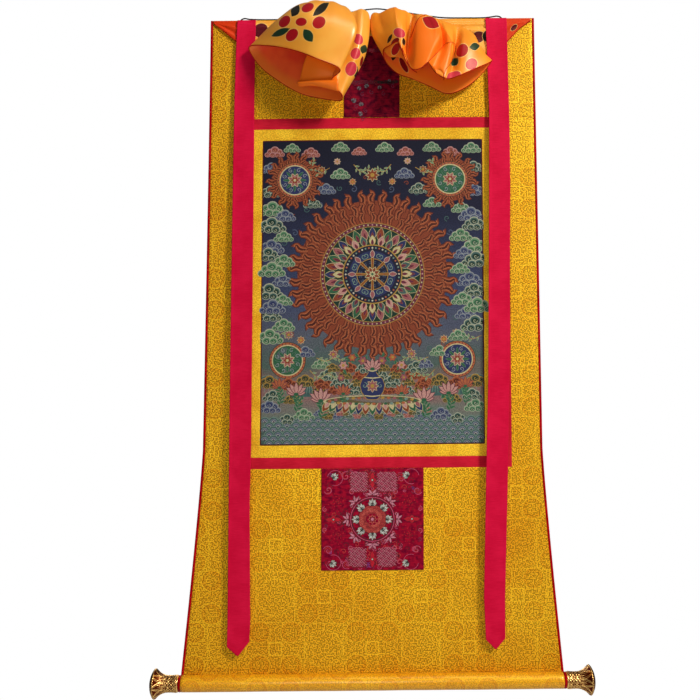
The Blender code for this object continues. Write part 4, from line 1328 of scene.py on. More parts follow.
def chaseHeight(along, turn):
    # how high the chasing stands, from 0 in the recesses to 1: along is in mm
    repeats = knobChase["repeats"]
    around = turn / (2 * math.pi) * repeats
    cell = (around + 0.5) % 1.0 - 0.5
    start, end = knobChase["scrolls"]
    if along < start:
        return 0.9 * (1 - ridge(along - 2.6, 0.5))
    if along < end:
        # two crossing waves, a curl in each of their loops and a bead between
        wave = 0.27 * math.sin(2 * math.pi * (along - start) / knobChase["crossing"])
        height = max(ridge(cell - wave, 0.075), ridge(abs(cell) - 0.5 + wave, 0.075))
        for loop in knobChase["loops"]:
            for side in (0.0, 0.5):
                across = ((around - side + 0.5) % 1.0 - 0.5) * 11.0
                reach = math.hypot(across, along - loop)
                curl = math.atan2(across, along - loop)
                height = max(height, ridge(reach - 1.7 - 0.28 * curl, 0.42) * 0.9,
                             ridge(reach, 0.6))
        return height
    start, end = knobChase["petals"]
    if along < end:
        share = (along - start) / (end - start)
        half = 0.47 * math.sin(math.pi * min(share * 0.62 + 0.3, 1.0))
        height = max(ridge(abs(cell) - half, 0.055), ridge(cell, 0.05) * (1 - share) * 1.2,
                     0.7 * ridge(abs(cell) - half * 0.55, 0.05))
        return max(height, 0.55 * ridge(math.sin(share * 22 + cell * 9), 0.4) * share)
    rim = knobChase["rim"]
    if along < rim:
        return 0.15 + 0.5 * abs(math.cos(turn * 28))
    # the cap stands at most 0.6 high, so its colour stays a mid-brown: painted shade
    return max(ridge(abs(math.sin(turn * 6)) - 0.2 - (along - rim) * 0.1, 0.3) * 0.5,
               *(ridge(along - at, half) * 0.6 for at, half in knobChase["capLines"]))


def makeBrass():
    brass = Finish("chasedBrass", {"Metallic": 1.0})
    height = brass.node("Attribute", {"attribute_name": "chase"}, {}, 2)
    worn = brass.noise(brass.where(), 600.0, 3.0, "3D")
    # painted shade: the lower the chasing stands, the more it takes the dark recess colour
    share = brass.step(height + (worn - 0.5) * 0.35, 0.3, 0.7)
    brass.show("Base Color", brass.mix(share, knobChase["recessShade"], knobChase["brass"]))
    brass.show("Roughness", 0.46 - share * 0.14 + (worn - 0.5) * 0.15)
    brass.bump(worn, 0.2 * mm, 0.4)


def makeKnobs():
    makeBrass()
    outline = [Vector((along * mm, radius * mm, 0.0)) for along, radius in roller["knobOutline"]]
    profile = evenPlaces(outline, knobChase["rows"])
    sides, start = knobChase["sides"], roller["knobInner"] + cloth["seam"]
    for name, sign in bothSides:
        heights = []

        def place(side, index):
            along, radius = profile[index].x, profile[index].y
            turn = 2 * math.pi * side
            height = chaseHeight(along / mm, turn)
            heights.append(height)
            fade = smoothStep(radius / knobChase["fade"])
            return roundPlace(sign * (start + along), turn,
                              radius + knobChase["depth"] * (height - 0.6) * fade)

        item = gridPiece("knob" + name, place, evenShares(sides, ring=True),
                         range(len(profile) - 1), ["chasedBrass"], closed=1,
                         uv=lambda side, index: (profile[index].x, side * roller["girth"]))
        layer = item.data.attributes.new("chase", "FLOAT", "POINT")
        layer.data.foreach_set("value", heights)
        closeEnds(item)
        onBody(item, "knob_" + name.lower(), "chased_brass")


# The silk cover: a strip along the top, the gather, and two puffs with their flaps

cover = {
    "thick": 0.9 * mm, "top": 1 * mm, "seamLift": 2.1 * mm, "lift": 3.9 * mm,
    "fold": 1.1 * mm, "folds": 2.5, "closeness": 1.4, "leavesSeam": 5 * mm, "liftsOver": 8 * mm,
    "edge": ((-294, 5), (-273, 22), (-252, 40), (-215, 56), (-120, 50), (-40, 34), (60, 34),
             (150, 56), (212, 74), (250, 44), (272, 20), (293, 5)),
    "bands": (((118, 12), (226, 11), 4.5, 2.2), ((120, 19), (224, 17), 2.2, -1.2),
              ((130, 27), (224, 24), 5.0, 2.4), ((150, 37), (222, 31), 2.4, -1.0),
              ((-226, 13), (-150, 12), 4.0, 1.6), ((-222, 21), (-150, 22), 2.4, -1.0),
              ((236, 10), (290, 6), 2.6, 1.0), ((-290, 6), (-238, 12), 2.6, 1.0)),
    "hubSpread": 0.6, "hubRise": 0.4, "hubDepth": 0.3, "hubUp": -11 * mm, "hubOut": 4.5 * mm,
    "gatherLeft": -86 * mm, "gatherRight": 122 * mm, "gatherOut": 9 * mm, "gatherRadius": 4.8 * mm,
    "perFold": 13, "rows": 72, "foldWidth": 30 * mm, "puffLength": 140 * mm,
    "hemRadius": 0.75 * mm, "stitch": 1.6 * mm, "stripCells": (260, 30),
    "gatherCells": (120, 48), "leastFlat": 40 * mm, "stripDrop": 55 * mm,
    "waves": (31 * mm, 12 * mm), "taper": 14 * mm, "puckers": (9 * mm, 4.2 * mm),
    "flapSize": (60 * mm, 80 * mm), "fingerSize": (30 * mm, 60 * mm),
}
# A puff's folds in order round its mouth, in mm: the crest (across, up, out), how far the
# middle swings across and bellies out, and the hem (across, up, out)
puffs = {
    "left": {"hub": -20 * mm, "folds": (
        (-130, 10, 30, -2, 4, -225, -62, 20),  # left tip
        (-108, 13, 42, -2, 18, -188, -72, 50),
        (-88, 13, 44, 0, 24, -138, -92, 76),
        (-74, 12, 44, 4, 22, -98, -112, 88),
        (-50, 3, 38, 24, 20, -56, -129, 78),  # bright ridge
        (-49, 0, 22, 2, -2, -72, -140, 62),  # valley
        (-38, 2, 26, 12, 6, -67, -150, 54),  # second lobe
        (-22, 6, 28, 12, 12, -54, -163, 50),
        (-9, 4, 20, 20, 4, -56, -168, 36),  # its outer edge
        (-16, -44, 11, 16, 0, -82, -160, 20),  # back wall
        (-52, -50, 8, 4, 0, -128, -148, 15),
        (-86, -46, 8, 0, 0, -166, -126, 13),
        (-114, -34, 9, 0, 0, -202, -98, 13),
        (-130, -12, 16, 0, 0, -219, -76, 14))},
    "right": {"hub": 28 * mm, "folds": (
        (1, 3, 18, -12, 2, 20, -73, 34),  # left edge
        (15, 0, 28, -4, 4, 31, -72, 50),
        (37, 7, 32, -2, 8, 45, -70, 62),  # cone
        (52, 3, 32, 2, 8, 51, -84, 66),
        (73, 0, 22, -2, -8, 60, -106, 60),  # valley
        (82, -4, 28, 0, 12, 74, -128, 76),  # apron
        (93, -4, 30, 16, 14, 86, -126, 82),
        (104, -8, 28, 18, 12, 97, -116, 80),
        (114, -11, 22, 16, 2, 105, -121, 66),  # tuck
        (124, -14, 26, 15, 10, 114, -134, 72),  # finger
        (137, -18, 26, 10, 10, 127, -141, 72),
        (150, -21, 22, 4, -4, 137, -137, 60),  # valley
        (163, -24, 22, 0, 10, 156, -131, 62),  # skirt
        (174, -30, 19, 2, 10, 186, -114, 52),
        (182, -33, 15, -2, 4, 211, -97, 36),
        (181, -42, 11, -4, -2, 217, -88, 22),  # right tip
        (170, -48, 9, 0, 0, 202, -108, 18),  # back wall
        (148, -52, 8, 0, 0, 169, -136, 15),
        (124, -52, 8, 0, 0, 136, -147, 14),
        (96, -50, 8, 0, 0, 105, -133, 13),
        (66, -44, 8, 0, 0, 72, -118, 12),
        (40, -34, 8, 0, 0, 44, -107, 12),
        (18, -24, 9, -2, 0, 25, -88, 15),
        (4, -12, 12, -8, 0, 20, -79, 23))},
}
# Soft creases: the fold it runs on at the hub and at the hem, its half
# width in folds, how far it stands out (a trough where below 0) in mm, and its two ends
creases = {
    "left": ((0.9, 1.5, 0.30, -1.6, 0.15, 0.75), (1.7, 1.1, 0.25, 1.4, 0.10, 0.60),
             (2.5, 2.6, 0.35, -1.8, 0.25, 0.90), (3.2, 3.3, 0.22, 1.3, 0.10, 0.80),
             (3.8, 4.0, 0.18, 2.2, 0.20, 1.00), (4.6, 4.6, 0.22, -2.2, 0.10, 1.00),
             (6.4, 6.3, 0.25, -1.2, 0.10, 0.80), (7.2, 7.0, 0.20, 1.2, 0.20, 0.95)),
    "right": ((0.8, 0.9, 0.25, -1.2, 0.10, 0.80), (2.4, 2.2, 0.20, 1.5, 0.15, 0.90),
              (3.3, 3.4, 0.16, 1.8, 0.10, 0.95), (4.0, 4.1, 0.20, -2.0, 0.10, 0.90),
              (5.6, 6.4, 0.22, -1.2, 0.15, 0.80), (6.6, 7.3, 0.20, 1.2, 0.20, 0.90),
              (8.0, 8.2, 0.55, 4.0, 0.05, 0.70),
              (12.9, 12.8, 0.60, 0.8, 0.15, 0.90)),
}
# The print as the eye sees it against the cloth: kind, across, up, long, wide (mm), angle
prints = {
    "left": (
        ("crimson", -120, 24, 24, 18, 40), ("crimson", -99, -5, 24, 20, 35),
        ("crimson", -132, -4, 20, 14, 5), ("crimson", -163, -3, 24, 18, 40),
        ("crimson", -149, -29, 25, 18, 40), ("darkLeaf", -143, 18, 24, 15, 60),
        ("darkLeaf", -95, 21, 38, 13, 40), ("greenLeaf", -170, -24, 36, 11, 24),
        ("greenLeaf", -119, -30, 25, 17, -52), ("pink", -26, -37, 20, 17, -60),
        ("pink", -31, -64, 20, 18, 60), ("pink", -39, -93, 25, 21, 70),
        ("greenLeaf", -16, -56, 16, 13, 70), ("darkRed", -20, -79, 18, 5, 75),
        ("darkLeaf", -30, -99, 20, 6, 75)),
    "right": (
        ("pink", 50, -25, 23, 16, -20), ("darkRed", 42, -42, 18, 10, 40),
        ("darkLeaf", 32, -36, 18, 6, 62), ("darkLeaf", 58, -42, 14, 6, -82),
        ("crimsonLeaf", 108, -5, 34, 19, -28), ("crimson", 165, -58, 25, 22, 45),
        ("greenLeaf", 189, -51, 19, 13, 5), ("greenLeaf", 152, -80, 17, 13, 50),
        ("pink", 183, -84, 23, 19, 30), ("pink", 149, -107, 28, 16, 20),
        ("pink", 211, -64, 14, 10, -50)),
    "rightLining": (("darkLeaf", 39, -70, 14, 9, 75), ("darkRed", 58, -86, 30, 10, -62),
                    ("darkRed", 107, -83, 14, 11, 0)),
    "tuck": (("crimson", 43, -56, 22, 13, 60), ("darkLeaf", 28, -70, 10, 8, 0)),
    "strip": (
        ("purple", -207, -20, 28, 24, 40), ("purple", 196, -33, 24, 20, 10),
        ("darkLeaf", 209, -31, 20, 11, 85), ("purple", -236, -4, 26, 7, 0),
        ("purple", 262, -15, 14, 8, 40)),
}
printLooks = {
    "crimson": dye(176, 16, 34), "pink": dye(208, 58, 76), "darkRed": dye(128, 12, 26),
    "purple": dye(92, 10, 34), "crimsonLeaf": dye(168, 14, 32), "darkLeaf": dye(26, 28, 24),
    "greenLeaf": dye(26, 60, 42),
}
silkLook = {
    "amber": dye(255, 186, 72), "amberShade": dye(250, 166, 50), "amberDeep": dye(246, 144, 36),
    "reverse": dye(255, 122, 32), "lining": dye(255, 104, 54), "liningShade": dye(236, 72, 46),
    "outline": dye(250, 200, 110),
    "depth": 24 * mm, "glow": dye(255, 172, 74), "metal": 0.03, "coat": 0.6,
    # hem is the lighter colour of the linings near the mouth: painted light on the lit rim
    "hem": dye(255, 146, 48), "ends": dye(214, 60, 24), "litRimFrom": 118 * mm, "litRimTo": 134 * mm,
    "endsFrom": 232 * mm,
}


def seenOn(tree, across, up, lift=0.0):
    # where the eye, looking at a place of the cloth's plane, meets a folded surface
    eye = Vector(view["eye"])
    ray = (Vector((across * mm, 0.0, up * mm - cloth["topDrop"])) - eye).normalized()
    place = tree.ray_cast(eye, ray)[0]
    return None if place is None else place - ray * lift


def surfaceTree(item):
    bpy.context.view_layer.update()
    return BVHTree.FromObject(item, bpy.context.evaluated_depsgraph_get())


def printOn(name, tree):
    # lays the printed petals and leaves on the colour of the silk
    silk, colour = coverSilks[name]
    where, kinds, printed = silk.where(), {}, 0.0
    for kind, across, up, long, wide, angle in prints[name]:
        place = seenOn(tree, across, up)
        if place is None:
            continue
        ahead = (place - Vector(view["eye"])).normalized()
        right = ahead.cross(Vector((0, 0, 1))).normalized()
        right.rotate(Matrix.Rotation(-math.radians(angle), 3, ahead))
        turn = Matrix((right, -ahead.cross(right), -ahead)).transposed().to_euler()
        size = (long * mm / 2, wide * mm / 2, silkLook["depth"])
        local = silk.node("Mapping", {"vector_type": "TEXTURE"},
                          {"Vector": where, "Location": place, "Rotation": turn, "Scale": size})
        if "Leaf" in kind:
            along, side, deep = silk.parts(local)
            away = silk.math("MAXIMUM", along * along + abs(side), abs(deep))
        else:
            away = silk.vector("LENGTH", local, output=1)
        kinds.setdefault(kind, []).append(away)
    mottle = silk.noise(where, 260.0, 2.0, "3D")
    for kind, parts in kinds.items():
        nearest = parts[0]
        for part in parts[1:]:
            nearest = silk.math("MINIMUM", nearest, part)
        colour = silk.mix(silk.step(nearest, 1.12, 1.07), colour, silkLook["outline"])
        inside = silk.step(nearest, 1.01, 0.97)
        deeper = tuple(value * 0.72 for value in printLooks[kind])
        colour = silk.mix(inside, colour, silk.mix(mottle, deeper, printLooks[kind]))
        printed = inside + printed
    silk.show("Base Color", colour)
    plain = 1 - printed * 0.85
    silk.show("Metallic", silk.shine * silkLook["metal"] * plain)
    silk.show("Coat Weight", silk.shine * silkLook["coat"] * plain)
    silk.plug(silk.thin, plain * silk.thin.default_value)


def makeSatin(name, bright, shade, shine, seeThrough):
    # satin silk: shiny outside, duller on its reverse, and light glows a little through it
    silk = Finish(name, {"Specular Tint": (1.0, 0.80, 0.42, 1.0), "Specular IOR Level": 0.3,
                         "Coat IOR": 1.9, "Coat Roughness": 0.36, "Coat Tint": (1.0, 0.93, 0.75, 1.0)})
    flat = silk.flat()
    uneven = silk.noise(silk.where(), 22.0, 3.0, "3D")
    weave = silk.noise(silk.vector("MULTIPLY", flat, (1500.0, 900.0, 1.0)), 1.0, 1.0)
    ground = silk.mix(silk.step(uneven, 0.3, 0.7), shade, bright)
    dull = 0.0
    if name == "rightSilk":
        dull = silk.node("Attribute", {"attribute_name": "reverse"}, {}, 2)
        ground = silk.mix(dull, ground, silkLook["reverse"])
    if name == "stripSilk":
        # past the ribbons its ends are turned over
        across = abs(silk.parts(flat)[0] - (cover["edge"][-1][0] - cover["edge"][0][0]) / 2 * mm)
        dull = silk.step(across, silkLook["endsFrom"], silkLook["endsFrom"] + 2 * mm)
        ground = silk.mix(dull, ground, silkLook["ends"])
    if "lining" in name.lower():
        # painted light: the lining turns lighter towards the mouth, where light falls on its rim
        share = silk.step(silk.parts(flat)[1], silkLook["litRimFrom"], silkLook["litRimTo"])
        ground = silk.mix(share * 0.6, ground, silkLook["hem"])
    silk.shine = (1 - dull) * shine
    silk.show("Roughness", 0.38 + weave * 0.12)
    silk.show("Metallic", silk.shine * silkLook["metal"])
    silk.show("Coat Weight", silk.shine * silkLook["coat"])
    silk.bump(weave, 0.08 * mm, 0.5)
    silk.show("Base Color", ground)
    glow = silk.node("BsdfTranslucent", {}, {"Color": (*silkLook["glow"], 1.0)})
    both = silk.node("MixShader", {}, {0: seeThrough, 2: glow,
                                       1: Value(silk, silk.shader.outputs[0])})
    silk.plug(silk.tree.nodes["Material Output"].inputs["Surface"], both)
    silk.thin = both.socket.node.inputs[0]
    return silk, ground


coverSilks = {}


def makeSilks():
    for name, bright, shade, shine, seeThrough in (
            ("lining", "lining", "liningShade", 0.2, 0.15),
            ("reverse", "reverse", "reverse", 0.12, 0.12), ("left", "amber", "amberShade", 1.0, 0.18),
            ("right", "amberShade", "amberDeep", 0.3, 0.18),
            ("strip", "amber", "amberShade", 0.5, 0.18), ("tuck", "amberShade", "reverse", 0.6, 0.18),
            ("rightLining", "reverse", "lining", 0.2, 0.15)):
        coverSilks[name] = makeSatin(name + "Silk", silkLook[bright], silkLook[shade], shine,
                                     seeThrough)


def foldStations(rows, hub):
    stations = []
    for row in rows:
        crestX, crestUp, crestOut, swing, belly, hemX, hemUp, hemOut = (v * mm for v in row)
        stations.append((
            hangUp(hub + crestX * cover["hubSpread"], cover["hubUp"] + crestUp * cover["hubRise"],
                   cover["hubOut"] + crestOut * cover["hubDepth"]),
            hangUp(crestX, crestUp, crestOut),
            hangUp((crestX + hemX) / 2 + swing, (crestUp + hemUp) / 2 + belly / 2,
                   (crestOut + hemOut) / 2 + belly),
            hangUp(hemX, hemUp, hemOut)))
    return stations


def faceOutward(item):
    # turns the faces so that they look away from the piece's middle
    mesh = item.data
    middle = sum((vert.co for vert in mesh.vertices), Vector()) / len(mesh.vertices)
    out = sum(face.normal.dot(face.center - middle) * face.area for face in mesh.polygons)
    if out < 0:
        mesh.flip_normals()
        mesh.update()


def creaseHeight(marks, fold, length, count):
    height = 0.0
    for atHub, atHem, half, rise, start, end in marks:
        along = (length - start) / (end - start)
        if not 0 < along < 1:
            continue
        away = fold - (atHub + (atHem - atHub) * length)
        away = abs((away + count / 2) % count - count / 2) / half
        height += rise * math.exp(-away * away) * smoothStep(min(along, 1 - along) * 3)
    return height * mm


def makePuff(side):
    rows, hub = puffs[side]["folds"], puffs[side]["hub"]
    stations, count = foldStations(rows, hub), len(rows)
    lengths = evenShares(cover["rows"])
    rings = {length: [splinePoint(fold, length) for fold in stations] for length in lengths}
    folds = [step / cover["perFold"] for step in range(cover["perFold"] * count)]

    def place(fold, length):
        return loopPoint(rings[length], fold / count)

    def uv(fold, length):
        return (fold * cover["foldWidth"], length * cover["puffLength"])

    looks = [side + "Silk", "rightLiningSilk" if side == "right" else "liningSilk"]
    item = gridPiece(side + "Puff", place, folds, lengths, looks, closed=count, uv=uv)
    faceOutward(item)
    mesh = item.data
    for index, vert in enumerate(mesh.vertices):
        row, column = divmod(index, len(folds))
        vert.co += vert.normal * creaseHeight(creases[side], folds[column], lengths[row], count)
    mesh.update()
    item["hem"] = len(folds)
    item["deep"] = sum(runLengths([rings[length][fold] for length in lengths])[-1]
                       for fold in range(count)) / count
    thicken(item, cover["thick"], lining=1)
    onBody(item, None, "cover_silk")
    return item


def cutSilk(item, width, length, *hems):
    # the flat cloth that a gathered piece is made of
    area = sum(face.area for face in item.data.polygons)
    max(length, area / width)


def hemPath(item):
    # the points of a puff's open edge, in order round its mouth
    count = item["hem"]
    return [vert.co.copy() for vert in item.data.vertices[-count:]]


def sweep(name, path, radius, look, closed=False, sides=8):
    # a tube round a path; radius(distance, turn) gives its size, and it never twists
    count, distances = len(path), runLengths(path)

    def near(i):
        return path[i % count if closed else min(max(i, 0), count - 1)]

    upright = Vector((0.3, 0.2, 1.0))
    points, uvs = [], []
    for i, place in enumerate(path):
        along = (near(i + 1) - near(i - 1)).normalized()
        upright = (upright - along * upright.dot(along)).normalized()
        beside = along.cross(upright)
        for step in range(sides):
            turn = 2 * math.pi * step / sides
            reach = radius(distances[i], turn)
            points.append(place + (upright * math.cos(turn) + beside * math.sin(turn)) * reach)
            uvs.append((step / sides * 8 * mm, distances[i]))
    faces = []
    for i in range(count if closed else count - 1):
        for step in range(sides):
            here, there = i * sides + step, i * sides + (step + 1) % sides
            over, overThere = [(value + sides) % len(points) for value in (here, there)]
            faces.append((here, there, overThere, over))
    if not closed:
        faces += [tuple(reversed(range(sides))), tuple(range((count - 1) * sides, count * sides))]
    return meshPiece(name, points, faces, [[uvs[v] for v in face] for face in faces], [look])


def evenPath(points, step, closed=False):
    line = points + [points[0]] if closed else points
    return spacedPlaces(line, max(8, round(runLengths(line)[-1] / step)), closed)


def hemCord(name, points, closed=False, size=1.0):
    # a rolled hem, whipped with slanting stitches
    def radius(distance, turn):
        stitch = math.cos(2 * math.pi * distance / cover["stitch"] + turn)
        return cover["hemRadius"] * size * (1 + 0.22 * stitch)

    item = sweep(name, evenPath(points, cover["stitch"] / 4, closed), radius, "threadSilk", closed)
    onBody(item, None, "cover_silk")
    return item


def bandHeight(across, down):
    # long soft folds along the strip: from, to, half width and height, in mm
    height = 0.0
    for (ax, ay), (bx, by), half, rise in cover["bands"]:
        share = (across / mm - ax) / (bx - ax)
        if 0 < share < 1:
            away = (down / mm - (ay + (by - ay) * share)) / half
            height += rise * math.exp(-away * away) * smoothStep(min(share, 1 - share) * 5)
    return height * mm


def stripPlace(side, length):
    edge = cover["edge"]
    across = (edge[0][0] + (edge[-1][0] - edge[0][0]) * side) * mm
    foot = tableValue(edge, across / mm, 1) * mm
    down = cover["top"] + (foot - cover["top"]) * length ** cover["closeness"]
    clear = smoothStep((down - cover["leavesSeam"]) / cover["liftsOver"])
    long, short = cover["waves"]
    wave = math.sin(across / long + 2.4 * length) + 0.5 * math.sin(across / short)
    crease = cover["fold"] * (math.sin(2 * math.pi * cover["folds"] * length + 0.4 * wave)
                              + 0.35 * wave * length)
    lift = cover["lift"] + crease + bandHeight(across, down)
    return hang(across, down, cover["seamLift"] + (lift - cover["seamLift"]) * clear)


def makeStrip():
    sides, lengths = (evenShares(count) for count in cover["stripCells"])
    width = (cover["edge"][-1][0] - cover["edge"][0][0]) * mm
    item = gridPiece("coverStrip", stripPlace, sides, lengths, ["stripSilk", "liningSilk"],
                     uv=lambda side, length: (side * width, length * cover["stripDrop"]))
    thicken(item, cover["thick"], lining=1)
    onBody(item, "silk_cover", "cover_silk")
    hem = hemCord("coverStripHem", [stripPlace(side, 1.0) for side in sides], size=1.3)
    cutSilk(item, width, cover["leastFlat"], hem)
    return item


def makeGather():
    start, end, radius = cover["gatherLeft"], cover["gatherRight"], cover["gatherRadius"]
    (rows, sides), (long, short) = cover["gatherCells"], cover["puckers"]
    path = [hangUp(start + (end - start) * step / rows, cover["hubUp"], cover["gatherOut"])
            for step in range(rows + 1)]
    length = end - start

    def size(distance, turn):
        taper = 0.62 + 0.38 * smoothStep(min(distance, length - distance) / cover["taper"])
        pucker = math.sin(7 * turn + distance / long) + 0.6 * math.sin(distance / short)
        return radius * taper * (1 + 0.09 * pucker)

    item = sweep("coverGather", path, size, "stripSilk", sides=sides)
    onBody(item, None, "cover_silk")
    math.pi * radius


def patchPiece(name, rails, look, columns, rows):
    # a loose flap: rails run across it, in mm (across, up, out), from its top to its foot
    lines = [[hangUp(*(value * mm for value in point)) for point in rail] for rail in rails]
    sides, lengths = evenShares(columns), evenShares(rows)

    def place(side, length):
        return splinePoint([splinePoint(line, side) for line in lines], length)

    wide, deep = cover["flapSize"]
    item = gridPiece(name, place, sides, lengths, [look],
                     uv=lambda side, length: (side * wide, length * deep))
    thicken(item, cover["thick"])
    onBody(item, None, "cover_silk")
    widths = [runLengths([place(side, length) for side in sides])[-1] for length in lengths]
    cutSilk(item, max(widths), cover["leastFlat"])
    return item


flaps = {
    # the cloth turned in at the left mouth, which rolls into a lip
    "inner": (((-104, -60, 50), (-85, -62, 56), (-66, -75, 54)),
              ((-116, -94, 60), (-92, -100, 64), (-64, -118, 62)),
              ((-123, -112, 56), (-98, -118, 62), (-61, -128, 62)),
              ((-130, -136, 49), (-100, -137, 56), (-62, -135, 61)),
              ((-133, -142, 53), (-104, -143, 61), (-60, -146, 66)),
              ((-131, -147, 50), (-100, -149, 56), (-60, -160, 60)),
              ((-127, -144, 45), (-96, -146, 50), (-60, -156, 52))),
    # the printed tuck under the right puff's cone
    "tuck": (((21, -70, 31), (31, -70, 47), (43, -68, 58), (49, -83, 61), (57, -103, 57)),
             ((22, -76, 33), (32, -82, 45), (43, -82, 54), (50, -92, 57), (60, -108, 57)),
             ((23, -78, 34), (32, -90, 42), (43, -93, 48), (53, -97, 52), (63, -114, 55))),
    # the finger-shaped fold on the right puff, as the eye sees it: across, up
    "finger": (((103, -80), (114, -69), (125, -57), (136, -45)),
               ((112, -92), (123, -76), (135, -59), (144, -43)),
               ((121, -104), (130, -86), (143, -65), (151, -45)),
               ((131, -114), (134, -98), (146, -79), (154, -56))),
    "fingerLift": 2.4 * mm, "fingerCells": (22, 34), "fingerSmooth": 30, "hemLift": 0.4 * mm,
    # the apron as the eye sees it, which takes a flat deeper orange, and its edge beside the cone
    "apron": ((84, 0), (96, 8), (127, -8), (138, -25), (149, -44), (122, -62), (103, -80),
              (82, -100), (68, -82), (58, -54), (66, -38), (73, -25), (79, -6)),
    "apronHem": ((98, 9), (88, 5), (81, -6), (75, -23), (71, -35)),
    "coneHem": ((55, -54), (60, -67), (66, -82), (73, -94), (82, -100)),
}


def seenLine(tree, seen, lift, steps=24):
    points = [Vector((across, up, 0.0)) for across, up in seen]
    line = []
    for step in range(steps + 1):
        spot = splinePoint(points, step / steps)
        place = seenOn(tree, spot.x, spot.y, lift)
        if place:
            line.append(place)
    return line


def makeFinger(tree):
    rails = [[Vector((across, up, 0.0)) for across, up in rail] for rail in flaps["finger"]]
    sides, lengths = (evenShares(count) for count in flaps["fingerCells"])
    (wide, deep), lift, places = cover["fingerSize"], flaps["fingerLift"], {}
    for length in lengths:
        for side in sides:
            spot = splinePoint([splinePoint(rail, length) for rail in rails], side)
            rise = lift * (0.45 + 0.75 * math.sin(math.pi * min(max(side, 0.0), 1.0)) ** 0.5)
            places[side, length] = seenOn(tree, spot.x, spot.y, rise)
    for _ in range(flaps["fingerSmooth"]):
        smooth = dict(places)
        for row in range(1, len(lengths) - 1):
            for column in range(1, len(sides) - 1):
                near = [places[sides[column + across], lengths[row + along]]
                        for along, across in ((-1, 0), (1, 0), (0, -1), (0, 1))]
                here = sides[column], lengths[row]
                smooth[here] = places[here].lerp(sum(near, Vector()) / len(near), 0.5)
        places = smooth
    item = gridPiece("coverFinger", lambda side, length: places[side, length], sides, lengths,
                     ["reverseSilk"], uv=lambda side, length: (side * wide, length * deep))
    thicken(item, cover["thick"])
    onBody(item, None, "cover_silk")
    edge = [places[sides[0], length] for length in lengths]
    top = [places[side, lengths[-1]] for side in sides]
    right = [places[sides[-1], length] for length in reversed(lengths)]
    hem = hemCord("coverFingerHem", edge + top[1:] + right[1:], size=0.8)
    cutSilk(item, runLengths(edge)[-1], cover["leastFlat"] / 2, hem)


def seenFrom(place):
    # the opposite of seenOn: across and up, in mm, where the eye sees a place on the plane
    eye = Vector(view["eye"])
    spot = eye + (place - eye) * (-eye.y / (place.y - eye.y))
    return spot.x / mm, (spot.z + cloth["topDrop"]) / mm


def insideOutline(outline, x, y):
    inside = False
    for (ax, ay), (bx, by) in zip(outline, outline[1:] + outline[:1]):
        if (ay > y) != (by > y) and x < ax + (bx - ax) * (y - ay) / (by - ay):
            inside = not inside
    return inside


def markApron(item, tree):
    # the apron, as the eye sees it, takes a flat deeper orange with less shine
    eye, values = Vector(view["eye"]), []
    for vert in item.data.vertices:
        hit = tree.ray_cast(eye, (vert.co - eye).normalized())[0]
        seen = hit is not None and (hit - eye).length > (vert.co - eye).length - 4 * mm
        values.append(float(seen and insideOutline(flaps["apron"], *seenFrom(vert.co))))
    layer = item.data.attributes.new("reverse", "FLOAT", "POINT")
    layer.data.foreach_set("value", values)


def makeCover():
    makeSilks()
    for side in ("left", "right"):
        item = makePuff(side)
        tree = surfaceTree(item)
        if side == "right":
            markApron(item, tree)
        printOn(side, tree)
        hem = hemPath(item)
        hems = [hemCord(side + "PuffHem", hem, closed=True)]
        if side == "right":
            printOn("rightLining", tree)
            makeFinger(tree)
            for name in ("apronHem", "coneHem"):
                line = seenLine(tree, flaps[name], flaps["hemLift"])
                hems.append(hemCord("cover" + name[0].upper() + name[1:], line))
        cutSilk(item, runLengths(hem + hem[:1])[-1], item["deep"], *hems)
    printOn("strip", surfaceTree(makeStrip()))
    makeGather()
    patchPiece("coverInner", flaps["inner"], "reverseSilk", 26, 40)
    printOn("tuck", surfaceTree(patchPiece("coverTuck", flaps["tuck"], "tuckSilk", 30, 16)))


# The hanging cord

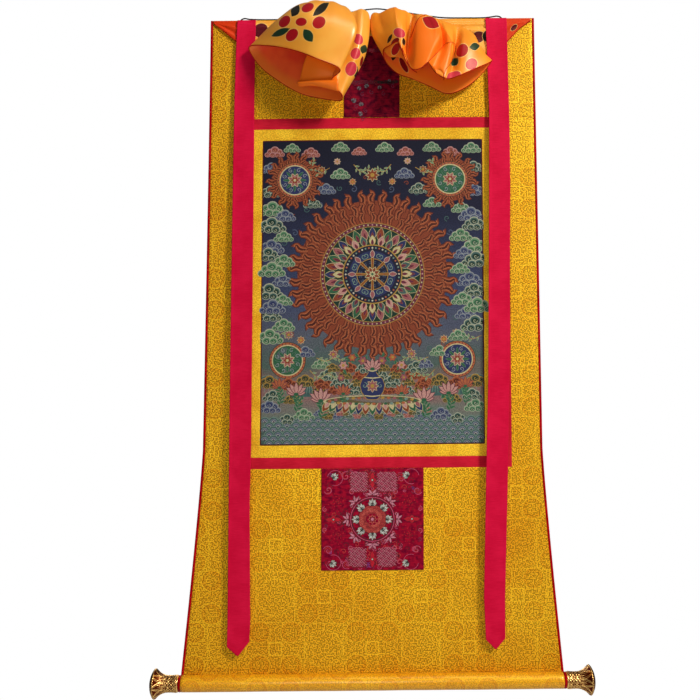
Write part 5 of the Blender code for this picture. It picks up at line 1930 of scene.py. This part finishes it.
cord = {
    "radius": 1.3 * mm, "strands": 3, "twist": 7 * mm, "rows": 620, "sides": 12,
    "route": (
        (-245, -7.0, 4.2), (-246, -1.5, 3.9), (-243, 2.6, 1.8), (-237, 4.4, 0.2),
        (-228, 2.9, 0.0), (-205, 1.8, 0.0), (-160, 1.9, 0.0), (-125, 3.0, 0.0), (-90, 6.6, 0.0),
        (-45, 13.6, 0.0), (-8, 19.6, 0.0), (10, 20.6, 0.0), (30, 18.2, 0.0), (70, 11.6, 0.0),
        (105, 6.0, 0.0), (130, 2.8, 0.0), (170, 1.9, 0.0), (208, 2.0, 0.0), (222, 3.6, 0.0),
        (231, 4.8, 0.2), (238, 3.0, 1.6), (241, -1.5, 3.8), (240, -7.0, 4.2)),
}


def makeCord():
    # across, up and back of the cloth's middle, as its route says; a three-strand twist
    route = [Vector((across * mm, back * mm, (up + cloth["skew"] * across) * mm - cloth["topDrop"]))
             for across, up, back in cord["route"]]
    path = evenPlaces(route, cord["rows"])

    def radius(distance, turn):
        lobe = math.cos(cord["strands"] * (turn - 2 * math.pi * distance / cord["twist"]))
        return cord["radius"] * (0.9 + 0.1 * lobe)

    item = sweep("hangingCord", path, radius, "cordSilk", sides=cord["sides"])
    onBody(item, "hanging_cord", "dark_cord")
    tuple(path[0])
    round(runLengths(path)[-1], 3)


floor = {"down": -2.1, "half": 3.0, "front": -3.5, "back": 2.3, "colour": (0.80, 0.79, 0.77)}


def makeFloor():
    half, front, back, down = (floor[key] for key in ("half", "front", "back", "down"))
    corners = [(x, y, down) for x, y in ((-half, front), (half, front), (half, back), (-half, back))]
    ground = Finish("floor", {"Roughness": 0.9, "Specular IOR Level": 0.1})
    mottle = ground.noise(ground.where(), 6.0, 4.0, "3D")
    shade = tuple(value * 0.97 for value in floor["colour"])
    ground.show("Base Color", ground.mix(mottle, shade, floor["colour"]))
    meshPiece("floor", corners, [(0, 1, 2, 3)], looks=["floor"], smooth=False)


makeFloor()
makePaint()
makeCanvas()
makeCanvasBack()
makeMounting()
makePicture()
print("mounting and picture made")
for ribbonSide in ("left", "right"):
    makeRibbon(ribbonSide)
makeRoller()
makeKnobs()
print("ribbons, roller and knobs made")
makeCover()
makeCord()
print("silk cover and cord made")
